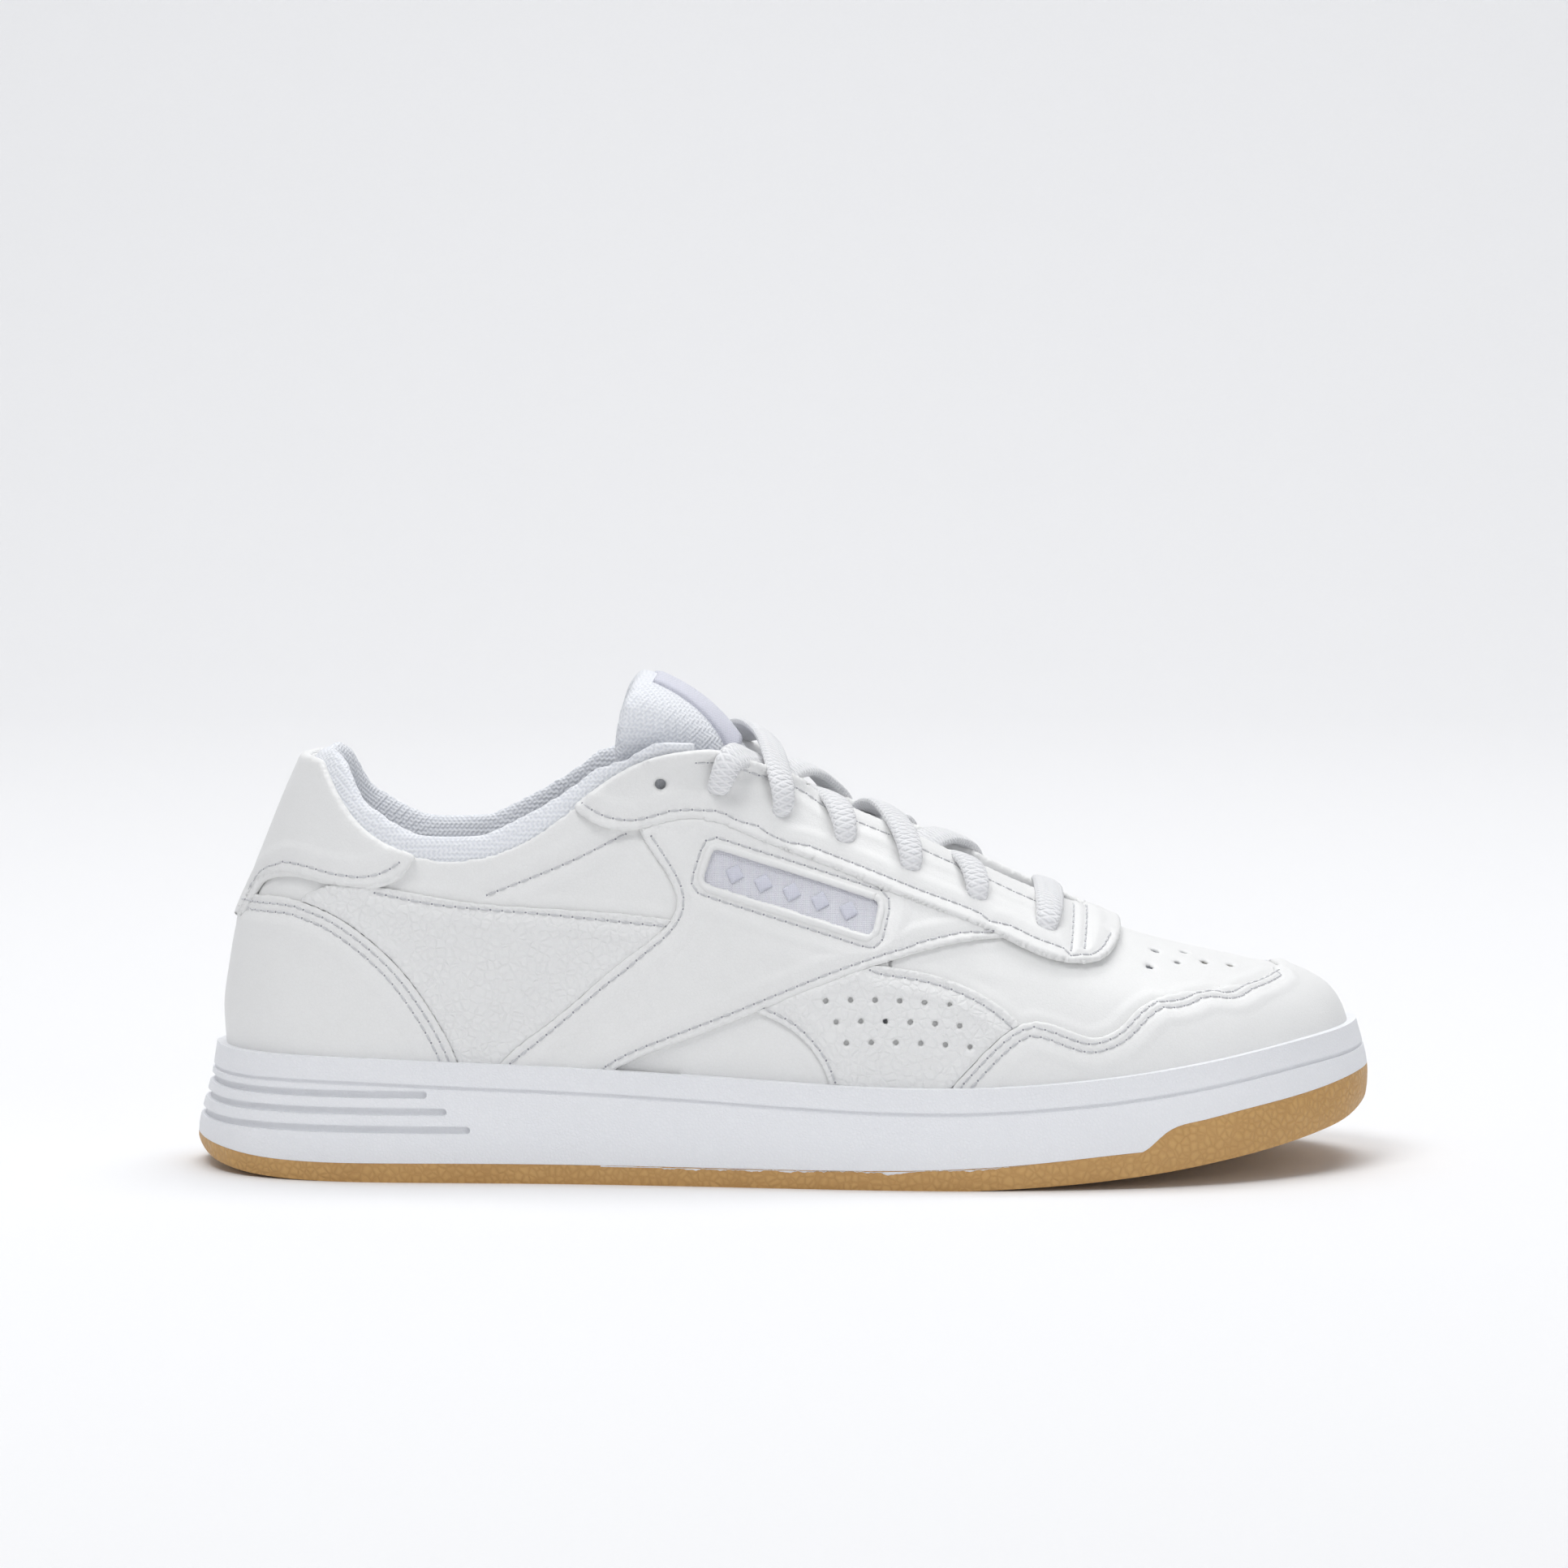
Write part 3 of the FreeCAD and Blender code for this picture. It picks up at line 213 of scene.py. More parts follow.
def cloud(tree, place, size, detail=3.0):
    return put(tree, "TexNoise", {"Vector": place, "Scale": 1 / size, "Detail": detail}).outputs["Fac"]


def uneven(tree, place, size, detail, low, high):
    """A value that wanders between low and high over the surface."""
    inputs = {0: cloud(tree, place, size, detail), 1: 0.3, 2: 0.7, 3: low, 4: high}
    return put(tree, "MapRange", inputs).outputs[0]


def mix_colour(tree, factor, a, b):
    n = put(tree, "Mix", {"Factor": factor}, data_type="RGBA")
    n.inputs[6].default_value = (*a, 1)
    n.inputs[7].default_value = (*b, 1)
    return n.outputs[2]


def finish_surface(tree, shader, height, depth, colour, roughness=None):
    bump = put(tree, "Bump", {"Height": height, "Distance": depth, "Strength": 1.0})
    tree.links.new(bump.outputs[0], shader.inputs["Normal"])
    tree.links.new(colour, shader.inputs["Base Color"])
    if roughness is not None:
        tree.links.new(roughness, shader.inputs["Roughness"])


def warped(tree, place, size, amount):
    """The place shifted by soft noise, so that a pattern looks natural."""
    noise = put(tree, "TexNoise", {"Vector": place, "Scale": 1 / size, "Detail": 1.0}).outputs["Color"]
    shift = put(tree, "VectorMath", {0: noise, 1: (0.5, 0.5, 0.5)}, operation="SUBTRACT").outputs[0]
    scaled = put(tree, "VectorMath", {0: shift, 3: amount}, operation="SCALE").outputs[0]
    return put(tree, "VectorMath", {0: place, 1: scaled}, operation="ADD").outputs[0]


def leather(name, grain, depth, crease, roughness, light, dark):
    """Coated leather: rounded grain cells with creases between them, pores and soft unevenness."""
    mat, tree, shader, place = start_material(name, roughness, 0.45)
    shader.inputs["Coat Weight"].default_value = 0.12
    shader.inputs["Coat Roughness"].default_value = 0.35
    bent = warped(tree, place, grain * 2.2, grain * 0.8)
    edge = cells(tree, bent, grain, "DISTANCE_TO_EDGE")
    pebble = math_node(tree, "DIVIDE", edge, crease, True)
    fine = cloud(tree, place, 0.35 * MM)
    soft = cloud(tree, place, 7 * MM, 2.0)
    height = plus(tree, times(tree, pebble, 0.5), times(tree, fine, 0.3))
    height = plus(tree, height, times(tree, soft, 1.2))
    # colour: painted shade darkens the creases between grain cells, mixed with tone that wanders at random
    shade = plus(tree, times(tree, pebble, 0.35), times(tree, cloud(tree, place, 22 * MM), 0.9), True)
    rough = uneven(tree, place, 9 * MM, 4.0, roughness - 0.06, roughness + 0.08)
    finish_surface(tree, shader, height, depth, mix_colour(tree, shade, dark, light), rough)
    return mat


def pebbled_rubber(name, pitch, depth, roughness, light, dark):
    """Moulded rubber with a fine pebble in the mould."""
    mat, tree, shader, place = start_material(name, roughness, 0.45)
    bent = warped(tree, place, pitch * 3, pitch)
    edge = cells(tree, bent, pitch, "DISTANCE_TO_EDGE")
    dome = math_node(tree, "DIVIDE", edge, 0.3, True)
    fine = cloud(tree, place, 0.3 * MM)
    height = plus(tree, dome, times(tree, fine, 0.35))
    # colour: painted shade darkens the crevices between pebbles, mixed with tone that wanders at random
    shade = plus(tree, times(tree, dome, 0.5), times(tree, cloud(tree, place, 16 * MM, 4.0), 0.7), True)
    rough = uneven(tree, place, 6 * MM, 3.0, roughness - 0.07, roughness + 0.07)
    finish_surface(tree, shader, height, depth, mix_colour(tree, shade, dark, light), rough)
    return mat


def lattice(tree, place, pitch):
    """A regular lattice of lumps in all three directions, from 0 to 1."""
    scaled = put(tree, "VectorMath", {0: place, 3: 2 * math.pi / pitch}, operation="SCALE").outputs[0]
    x, y, z = put(tree, "SeparateXYZ", {0: scaled}).outputs
    terms = []
    for a, b in ((x, y), (y, z), (z, x)):
        terms.append(times(tree, math_node(tree, "SINE", a), math_node(tree, "COSINE", b)))
    total = plus(tree, plus(tree, terms[0], terms[1]), terms[2])
    return put(tree, "MapRange", {0: total, 1: -1.2, 2: 1.2}).outputs[0]


def knit(name, pitch, depth, light, dark, fuzz=0.3):
    """Spacer mesh or knitted textile: small loops with pinholes between them, the pinholes darkened with
    painted shade.
    """
    mat, tree, shader, place = start_material(name, 0.85, 0.2, fuzz)
    shader.inputs["Sheen Roughness"].default_value = 0.5
    bent = warped(tree, place, 9 * MM, 0.35 * pitch)
    lumps = lattice(tree, bent, pitch)
    fibre = cloud(tree, place, 0.25 * MM, 2.0)
    height = plus(tree, lumps, times(tree, fibre, 0.35))
    # colour: painted shade in the pinholes between the loops
    shade = put(tree, "MapRange", {0: lumps, 1: 0.12, 2: 0.5}).outputs[0]
    finish_surface(tree, shader, height, depth, mix_colour(tree, shade, dark, light))
    return mat


def slanted_waves(tree, a, b, pitch):
    """Waves along both diagonals of two coordinates."""
    turn = 2 * math.pi / pitch
    one = math_node(tree, "SINE", times(tree, plus(tree, a, b), turn))
    return one, math_node(tree, "SINE", times(tree, math_node(tree, "SUBTRACT", a, b), turn))


def thread_cloth(name, pitch, depth, light, dark, gloss=0.6):
    """Woven cloth with its threads slanting up the side of the shoe."""
    mat, tree, shader, place = start_material(name, gloss, 0.35, 0.15)
    x, _, z = put(tree, "SeparateXYZ", {0: place}).outputs
    warp, weft = slanted_waves(tree, x, z, pitch)
    weave = times(tree, warp, weft)
    height = plus(tree, weave, times(tree, cloud(tree, place, 0.2 * MM, 2.0), 0.4))
    # colour: painted shade in the dips between the woven threads
    shade = put(tree, "MapRange", {0: weave, 1: -0.8, 2: 0.5}).outputs[0]
    finish_surface(tree, shader, height, depth, mix_colour(tree, shade, dark, light))
    return mat


BRAID_PITCH = 1.5          # mm, as the lengths that the lace's mesh holds


def braid(name, light, dark):
    """Flat woven lace: slanted strands, from the lengths along and across that its mesh holds."""
    mat, tree, shader, place = start_material(name, 0.8, 0.25, 0.3)
    route = put(tree, "Attribute", attribute_name="weave").outputs["Vector"]
    along, across, _ = put(tree, "SeparateXYZ", {0: route}).outputs
    one, two = slanted_waves(tree, along, across, BRAID_PITCH)
    strands = put(tree, "MapRange", {0: math_node(tree, "MAXIMUM", one, two), 1: -0.4, 2: 1.0}).outputs[0]
    height = plus(tree, strands, times(tree, cloud(tree, place, 0.25 * MM, 2.0), 0.3))
    # colour: painted shade between the strands, from the same strand height as the bump
    finish_surface(tree, shader, height, 0.32 * MM, mix_colour(tree, strands, dark, light))
    return mat


def dotted_plastic(name, light, dark, roughness):
    mat, tree, shader, place = start_material(name, roughness, 0.5)
    colour = mix_colour(tree, cloud(tree, place, 1.5 * MM), dark, light)
    finish_surface(tree, shader, cloud(tree, place, 0.5 * MM), 0.03 * MM, colour)
    return mat


SMOOTH_LEATHER = leather("smooth_leather", 0.9 * MM, 0.05 * MM, 0.12, 0.46, (0.86, 0.86, 0.85),
                         (0.81, 0.81, 0.80))
GRAIN_LEATHER = leather("grain_leather", 2.1 * MM, 0.3 * MM, 0.24, 0.42, (0.85, 0.85, 0.84),
                        (0.815, 0.815, 0.81))
WHITE_RUBBER = pebbled_rubber("white_rubber", 0.9 * MM, 0.05 * MM, 0.5, (0.855, 0.86, 0.88),
                              (0.815, 0.825, 0.85))
GUM_RUBBER = pebbled_rubber("gum_rubber", 1.9 * MM, 0.16 * MM, 0.5, (0.62, 0.37, 0.135), (0.46, 0.25, 0.08))
SPACER_MESH = knit("spacer_mesh", 1.25 * MM, 0.16 * MM, (0.88, 0.895, 0.925), (0.78, 0.80, 0.845))
LINING_CLOTH = knit("lining_cloth", 1.1 * MM, 0.14 * MM, (0.79, 0.81, 0.85), (0.66, 0.68, 0.74))
LABEL_SATIN = thread_cloth("label_satin", 0.7 * MM, 0.06 * MM, (0.74, 0.745, 0.83), (0.66, 0.665, 0.76), 0.42)
WHITE_SATIN = thread_cloth("white_satin", 0.9 * MM, 0.08 * MM, (0.82, 0.82, 0.87), (0.70, 0.70, 0.77), 0.5)
LACE_WEAVE = braid("lace_weave", (0.92, 0.92, 0.93), (0.83, 0.835, 0.85))
THREAD = thread_cloth("sewing_thread", 0.5 * MM, 0.08 * MM, (0.86, 0.86, 0.87), (0.74, 0.75, 0.78), 0.6)
# dark colour of the plugs of painted shade at the needle holes
NEEDLE_HOLE_SHADE = dotted_plastic("needle_hole_shade", (0.40, 0.40, 0.43), (0.28, 0.28, 0.31), 0.9)
AGLET_FILM = dotted_plastic("aglet_film", (0.80, 0.82, 0.86), (0.70, 0.72, 0.77), 0.2)
STIFF_SHEET = dotted_plastic("stiff_sheet", (0.66, 0.64, 0.58), (0.55, 0.53, 0.47), 0.8)
FOAM_BLOCK = dotted_plastic("foam_block", (0.82, 0.82, 0.80), (0.66, 0.66, 0.63), 0.95)


# ======================================================================
# Outlines of the upper's pieces, as in the CAD source
# ======================================================================
EYESTAY_LOW = [(95.8, 96), (101, 91.3), (107.2, 88.9), (113.4, 89), (119.6, 90.6), (125.8, 91.6),
               (132.1, 90.9), (142.4, 86.9), (156.9, 81), (169.4, 76.1), (181.8, 71), (194.3, 66.2),
               (206.7, 61), (212.9, 58), (219.1, 55.9), (226.4, 55), (231.6, 56.3), (234.7, 59.5)]
TOE_CAP_EDGE = [(192.2, 25.1), (195.3, 28.6), (201.5, 35), (206.7, 39.2), (211.9, 41.2), (217.1, 40.7),
                (223.3, 38.3), (228.5, 37.2), (233.7, 38.9), (238.8, 43.3), (244, 45.8), (252.3, 46.9),
                (264.8, 47.6), (275.1, 49.4), (279.5, 51.4)]
SADDLE_REAR = [(113, 97), (114, 88), (118.6, 80.9), (122.3, 74.8), (123.4, 69.7), (120.7, 64.5),
               (113.4, 58.3), (103, 49.9), (90.6, 39.4), (80.2, 31), (76, 26)]
SADDLE_FRONT = [(104, 26), (110.3, 30.3), (121.7, 35.2), (136.2, 41), (152.8, 48), (167.3, 53.6),
                (181.8, 58.1), (198.4, 61.1), (210.9, 61.2)]
FRONT_PANEL_TOP = [(172.5, 55.2), (188, 52.5), (200.5, 47.4), (209.8, 40), (214, 33)]
FRONT_PANEL_LOW = [(163, 20), (161.1, 26.9), (158, 33), (151.8, 39.2), (142.4, 43.6), (137, 45.4)]
HEEL_OVERLAY_EDGE = [(5, 68.3), (12.9, 69.2), (24.3, 69.9), (32.6, 67.9), (38.8, 65), (47.1, 58.9),
                     (54.3, 51.7), (61.6, 41.3), (67, 30.9), (68, 27)]
REAR_PANEL_TOP = [(47.1, 74), (65.7, 70.8), (94.7, 68.5), (124, 65.8)]
HEEL_TAB_LOW = [(13.9, 69.6), (17, 74), (22.2, 76.4), (30.5, 76.1), (40.8, 74.4), (49.1, 75.6), (54.3, 78.7)]
WINDOW = [(132.1, 84.5), (174.6, 70.6), (172.5, 61.6), (129, 75.2)]
QUARTER_SEAM = [(110.3, 87.4), (94.7, 79.8), (75.1, 71.9)]
EYESTAY_BARS = ([(222.5, 57.5), (223.2, 62), (223.8, 66.5)], [(226, 57.8), (226.6, 61.5), (227.2, 65.5)])
EYELETS = [(118.8, 99.7), (133.4, 98.6), (149.7, 92.8), (165.7, 86), (182.2, 78.8), (199, 71), (216.4, 63.4)]


def curve_through(points, step):
    """Points about step apart on a smooth curve through the outline's points."""
    pts = np.array(points, float)
    if len(pts) == 2:
        n = max(2, int(np.linalg.norm(pts[1] - pts[0]) / step))
        return [tuple(pts[0] + (pts[1] - pts[0]) * t) for t in np.linspace(0, 1, n)]
    padded = np.vstack([2 * pts[0] - pts[1], pts, 2 * pts[-1] - pts[-2]])
    out = []
    for i in range(1, len(padded) - 2):
        a, b, c, d = padded[i - 1:i + 3]
        n = max(2, int(np.linalg.norm(c - b) / step))
        for t in np.arange(n) / n:
            out.append(0.5 * (2 * b + (c - a) * t + (2 * a - 5 * b + 4 * c - d) * t ** 2
                              + (3 * b - a - 3 * c + d) * t ** 3))
    out.append(pts[-1])
    return out


# ======================================================================
# Leather pieces: rounded edges, and leather drawn in along the stitching
# ======================================================================
STITCH = 2.9 * MM
THREAD_R = 0.27 * MM
GROOVE_HALF = 1.5 * MM     # leather dips within this distance of a seam
GROOVE_DEPTH = 0.42 * MM
PUFF_HALF = 6.0 * MM       # and swells a little beside it
PUFF_HEIGHT = 0.32 * MM
ABOVE = 5 * MM             # rays towards a surface start this far over it

outer_nodes = ["vamp", "quarter_lateral", "quarter_medial", "toe_cap", "heel_overlay", "eyestay", "heel_tab"]
for kind in ("saddle", "front_panel", "rear_panel"):
    outer_nodes += [kind + "_" + name for name, _ in SIDES]
node_trees = {n: tree_of(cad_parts[n]) for n in outer_nodes}
upper_tree = tree_of(*(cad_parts[n] for n in outer_nodes))


def edge_on_upper(outline, side):
    """Points and normals of an outline laid on the outside of the upper."""
    out = []
    for station, height in curve_through(outline, 0.5):
        p, n = side_hit(upper_tree, station, height, side)
        if p is not None:
            out.append((p, n))
    return out


def drop(tree, point, normal):
    """The outermost point of the tree's surface on a line through the point."""
    q, m, _, _ = tree.ray_cast(Vector(point) + Vector(normal) * ABOVE, -Vector(normal), 2.5 * ABOVE)
    return q, m


def beside(edge, piece, distance):
    """The line a distance inside the piece's edge, on the piece, as points and normals."""
    lines = []
    for sign in (-1, 1):
        line = []
        for i, (p, n) in enumerate(edge):
            a = edge[max(0, i - 3)][0]
            b = edge[min(len(edge) - 1, i + 3)][0]
            across = n.cross(b - a).normalized()
            q, m = drop(node_trees[piece], p + across * sign * distance, n)
            if q is not None:
                line.append((q, m))
        lines.append(line)
    return max(lines, key=len)


def respaced(line, step):
    """The same line with points a step apart, with smoothed normals."""
    pts = np.array([p for p, n in line])
    nos = np.array([n for p, n in line])
    for _ in range(6):
        pts[1:-1] = (pts[:-2] + 2 * pts[1:-1] + pts[2:]) / 4
        nos[1:-1] = (nos[:-2] + 2 * nos[1:-1] + nos[2:]) / 4
    run = np.concatenate([[0], np.cumsum(np.linalg.norm(np.diff(pts, axis=0), axis=1))])
    n = max(2, int(run[-1] / step))
    where = np.linspace(0, run[-1], n + 1)
    pts = np.stack([np.interp(where, run, pts[:, k]) for k in range(3)], 1)
    nos = np.stack([np.interp(where, run, nos[:, k]) for k in range(3)], 1)
    return pts, nos / np.linalg.norm(nos, axis=1)[:, None]


def crest(tree, x, side, below=0.8):
    """A point a little below the eyestay's top edge on one side, and the mean normal below it."""
    station = (x - HEEL_X) / MM
    for height in np.arange(114, 50, -0.25):
        p, _ = side_hit(tree, station, height, side)
        if p is not None and p.y * side > 5 * MM:
            hits = [side_hit(tree, station, height - d, side) for d in (below, 2, 3, 4, 5)]
            hits = [hit for hit in hits if hit[0] is not None and hit[0].y * side > 5 * MM]
            return hits[0][0], sum((n for _, n in hits), Vector()).normalized()
    return None, None


def line_on_upper(points, side):
    hits = [side_hit(upper_tree, station, height, side) for station, height in points]
    return [(p, n) for p, n in hits if p is not None]


def window_ring(grow, radius, step=0.4):
    """Closed line round the window with round corners, grown outwards."""
    corners = [Vector(c) for c in WINDOW]
    lines = []
    for i in range(4):
        a, b = corners[i], corners[(i + 1) % 4]
        along = (b - a).normalized()
        out = Vector((-along.y, along.x))
        if out.dot(a - (corners[0] + corners[2]) / 2) < 0:
            out = -out
        lines.append((a + out * grow, along, out))
    ring = []
    for i in range(4):
        (p, u, m), (q, v, k) = lines[i], lines[(i + 1) % 4]
        t = (q - p).cross(v) / u.cross(v)
        corner = p + u * t
        reach = radius * math.tan(u.angle(v) / 2)
        start = corner - u * reach
        centre = start - m * radius
        first = math.atan2(m.y, m.x)
        turn = u.angle_signed(v) * -1
        for j in range(9):
            angle = first + turn * j / 8
            ring.append(centre + radius * Vector((math.cos(angle), math.sin(angle))))
    ring.append(ring[0])
    out = []
    for a, b in zip(ring, ring[1:]):
        n = max(1, round((b - a).length / step))
        out += [a + (b - a) * k / n for k in range(n)]
    return out + [ring[0]]


# rows of stitches: outline, piece sewn, and how far inside its edge each row lies
seams = [
    ("toe_cap", TOE_CAP_EDGE, (1.6, 3.7)),
    ("heel_overlay", HEEL_OVERLAY_EDGE, (1.6, 3.7)),
    ("eyestay", EYESTAY_LOW, (1.9,)),
    ("heel_tab", HEEL_TAB_LOW, (1.9,)),
    ("saddle_*", SADDLE_REAR, (1.7,)),
    ("saddle_*", SADDLE_FRONT, (1.7,)),
    ("front_panel_*", FRONT_PANEL_TOP, (1.7,)),
    ("front_panel_*", FRONT_PANEL_LOW, (1.7,)),
    ("rear_panel_*", REAR_PANEL_TOP, (1.6,)),
]
loose_seams = [("quarter_*", QUARTER_SEAM)] + [("eyestay", bar) for bar in EYESTAY_BARS]
rows = []                  # (piece, points, normals) at the needle holes
for side_name, side in SIDES:
    for piece, outline, distances in seams:
        piece = piece.replace("*", side_name)
        edge = edge_on_upper(outline, side)
        for distance in distances:
            rows.append((piece, *respaced(beside(edge, piece, distance * MM), STITCH)))
    for piece, outline in loose_seams:
        piece = piece.replace("*", side_name)
        rows.append((piece, *respaced(edge_on_upper(outline, side), STITCH)))
    throat = [crest(node_trees["eyestay"], to_x(s), side, 2.4) for s in np.arange(128, 220, 1.0)]
    rows.append(("eyestay", *respaced([t for t in throat if t[0] is not None], STITCH)))
    rows.append(("saddle_" + side_name, *respaced(line_on_upper(window_ring(2.4, 3.2), side), STITCH)))


def seam_finder():
    """Tree of points close together along every row."""
    pts = []
    nos = []
    for _, p, n in rows:
        for t in (0, 0.2, 0.4, 0.6, 0.8):
            pts.append(p[:-1] + (p[1:] - p[:-1]) * t)
            nos.append(n[:-1])
    pts = np.vstack(pts)
    tree = KDTree(len(pts))
    for i, p in enumerate(pts):
        tree.insert(p, i)
    tree.balance()
    return tree, np.vstack(nos)


finder, finder_normals = seam_finder()


def sewn(mesh):
    """Draws the outside of a leather piece in along its seams, and swells it beside them."""
    co = coordinates(mesh)
    no = normals(mesh)
    shift = np.zeros(len(co))
    for i in range(len(co)):
        _, k, d = finder.find(co[i])
        if d > PUFF_HALF or no[i] @ finder_normals[k] < 0.35:
            continue
        if d < GROOVE_HALF:
            shift[i] -= GROOVE_DEPTH * (1 - (d / GROOVE_HALF) ** 2) ** 2
        swell = (d - GROOVE_HALF * 0.6) / (PUFF_HALF - GROOVE_HALF * 0.6)
        if swell > 0:
            shift[i] += PUFF_HEIGHT * math.sin(math.pi * swell) ** 2 if swell < 1 else 0.0
    set_coordinates(mesh, co + no * shift[:, None])


def swell(mesh, amount):
    """Moves the whole surface outwards, so that a piece stands proud of those it lies over."""
    set_coordinates(mesh, coordinates(mesh) + normals(mesh) * amount)


# piece: voxel size, and how far it swells over its neighbours
LEATHER = {"vamp": (0.75, 0.0), "quarter": (0.75, 0.0), "toe_cap": (0.55, 0.3), "heel_overlay": (0.55, 0.3),
           "eyestay": (0.55, 0.6), "heel_tab": (0.55, 0.6), "saddle": (0.5, 0.5), "front_panel": (0.36, 0.1),
           "rear_panel": (0.5, 0.12)}


def leather_piece(node):
    family = node.replace("_lateral", "").replace("_medial", "")
    voxel, proud = LEATHER[family]
    kind = "grain" if "panel" in family else "smooth"
    ob = cad_copy(node + "_leather", node)
    voxel_remesh(ob, voxel * MM)
    relax(ob.data, 4)
    if proud:
        swell(ob.data, proud * MM)
    sewn(ob.data)
    mat = GRAIN_LEATHER if kind == "grain" else SMOOTH_LEATHER
    return dress(ob, mat, nodes=[node])


leather_obs = {n: leather_piece(n) for n in outer_nodes}
surface_tree = tree_of(*leather_obs.values())


# ======================================================================
# Stitches
# ======================================================================
def stitch_mesh():
    """Every stitch as a short sunk-ended thread, and at every needle hole a small dark plug that is painted
    shade.
    """
    thread_v = []
    thread_f = []
    hole_shade_v = []
    hole_shade_f = []
    around = 6
    profile = [(0.10, -0.9), (0.22, 0.15), (0.5, 0.55), (0.78, 0.15), (0.90, -0.9)]
    for _, pts, nos in rows:
        hits = [drop(surface_tree, p, n)[0] for p, n in zip(pts, nos)]
        ground = np.array([p if q is None else q for q, p in zip(hits, pts)])
        for i in range(len(pts) - 1):
            a, b, n = ground[i], ground[i + 1], nos[i]
            t = (b - a) / np.linalg.norm(b - a)
            side = np.cross(n, t)
            side /= np.linalg.norm(side)
            first = len(thread_v)
            for k, (share, rise) in enumerate(profile):
                centre = a + (b - a) * share + n * rise * THREAD_R
                width = THREAD_R * (0.55 if k in (0, 4) else 1.0)
                for j in range(around):
                    angle = 2 * math.pi * j / around
                    thread_v.append(centre + width * (math.cos(angle) * side + math.sin(angle) * n))
            for k in range(4):
                for j in range(around):
                    j2 = (j + 1) % around
                    p = first + k * around
                    thread_f.append((p + j, p + j2, p + around + j2, p + around + j))
            thread_f.append([first + j for j in reversed(range(around))])
            thread_f.append([first + 4 * around + j for j in range(around)])
        # painted shade: a small dark plug where each stitch goes into the leather
        for p, n in zip(ground, nos):
            side = np.cross(n, (0.3, 0.5, 0.81))
            side /= np.linalg.norm(side)
            up = np.cross(n, side)
            first = len(hole_shade_v)
            for level in (-0.3 * MM, 0.03 * MM):
                for j in range(around):
                    angle = 2 * math.pi * j / around
                    hole_shade_v.append(p + n * level + 0.30 * MM * (math.cos(angle) * side + math.sin(angle) * up))
            for j in range(around):
                j2 = (j + 1) % around
                hole_shade_f.append((first + j, first + j2, first + around + j2, first + around + j))
            hole_shade_f.append([first + j for j in reversed(range(around))])
            hole_shade_f.append([first + around + j for j in range(around)])
    return (thread_v, thread_f), (hole_shade_v, hole_shade_f)


threads, hole_shades = stitch_mesh()
stitch_ob = new_object("stitching", mesh_from("stitching", *threads))
dress(stitch_ob, THREAD)
hole_shade_ob = new_object("needle_hole_shades", mesh_from("needle_hole_shades", *hole_shades, smooth=False))
dress(hole_shade_ob, NEEDLE_HOLE_SHADE)


# ======================================================================
# Swept pieces: lace and the bead round the window
# ======================================================================
def spline(values, samples):
    """Quadratic B-spline through the middles of the control polygon's runs, ends included."""
    values = np.array(values, float)
    values = np.vstack([values[:1], values, values[-1:]])
    out = []
    for i in range(1, len(values) - 1):
        a = (values[i - 1] + values[i]) / 2
        c = (values[i] + values[i + 1]) / 2
        for t in np.arange(samples) / samples:
            out.append((1 - t) ** 2 * a + 2 * t * (1 - t) * values[i] + t * t * c)
    out.append(values[-1])
    return np.array(out)


def steady_turn(path, wanted):
    """Side and up directions along a path, turning smoothly and close to the wanted up."""
    tangent = np.gradient(path, axis=0)
    tangent /= np.linalg.norm(tangent, axis=1)[:, None]
    up = np.cross(tangent[0], (0.3, 0.2, 0.93))
    up /= np.linalg.norm(up)
    base = []
    for t in tangent:
        up = up - t * (up @ t)
        up /= np.linalg.norm(up)
        base.append(up.copy())
    base = np.array(base)
    side = np.cross(tangent, base)
    flat = wanted - tangent * np.sum(wanted * tangent, axis=1)[:, None]
    weight = np.sum(flat * flat, axis=1) ** 2 + 1e-4
    angle = np.arctan2(np.sum(flat * side, axis=1), np.sum(flat * base, axis=1))
    for i in range(1, len(angle)):
        angle[i] -= math.pi * round((angle[i] - angle[i - 1]) / math.pi)
    kernel = np.exp(-np.linspace(-2, 2, 15) ** 2)
    pad = len(kernel) // 2
    top = np.convolve(np.pad(angle * weight, pad, "edge"), kernel, "valid")
    angle = top / np.convolve(np.pad(weight, pad, "edge"), kernel, "valid")
    up = base * np.cos(angle)[:, None] + side * np.sin(angle)[:, None]
    return np.cross(tangent, up), up


def sweep(name, path, side, up, half_width, half_height, around=16, power=2.4):
    """Tube with a flattened round section; keeps the lengths along and across it as an attribute."""
    verts = []
    weave = []
    run = np.concatenate([[0], np.cumsum(np.linalg.norm(np.diff(path, axis=0), axis=1))]) / MM
    for i, p in enumerate(path):
        for j in range(around):
            angle = 2 * math.pi * j / around
            c, s = math.cos(angle), math.sin(angle)
            a = half_width[i] * math.copysign(abs(c) ** (2 / power), c)
            b = half_height[i] * math.copysign(abs(s) ** (2 / power), s)
            verts.append(p + side[i] * a + up[i] * b)
            share = angle / math.pi if j <= around / 2 else 2 - angle / math.pi
            weave.append((run[i], half_width[i] / MM * share, 0))
    faces = []
    for i in range(len(path) - 1):
        for j in range(around):
            k = (j + 1) % around
            faces.append((i * around + j, i * around + k, (i + 1) * around + k, (i + 1) * around + j))
    last = (len(path) - 1) * around
    faces.append([j for j in reversed(range(around))])
    faces.append([last + j for j in range(around)])
    mesh = mesh_from(name, verts, faces)
    mesh.attributes.new("weave", "FLOAT_VECTOR", "POINT").data.foreach_set("vector", np.array(weave).ravel())
    return new_object(name, mesh)


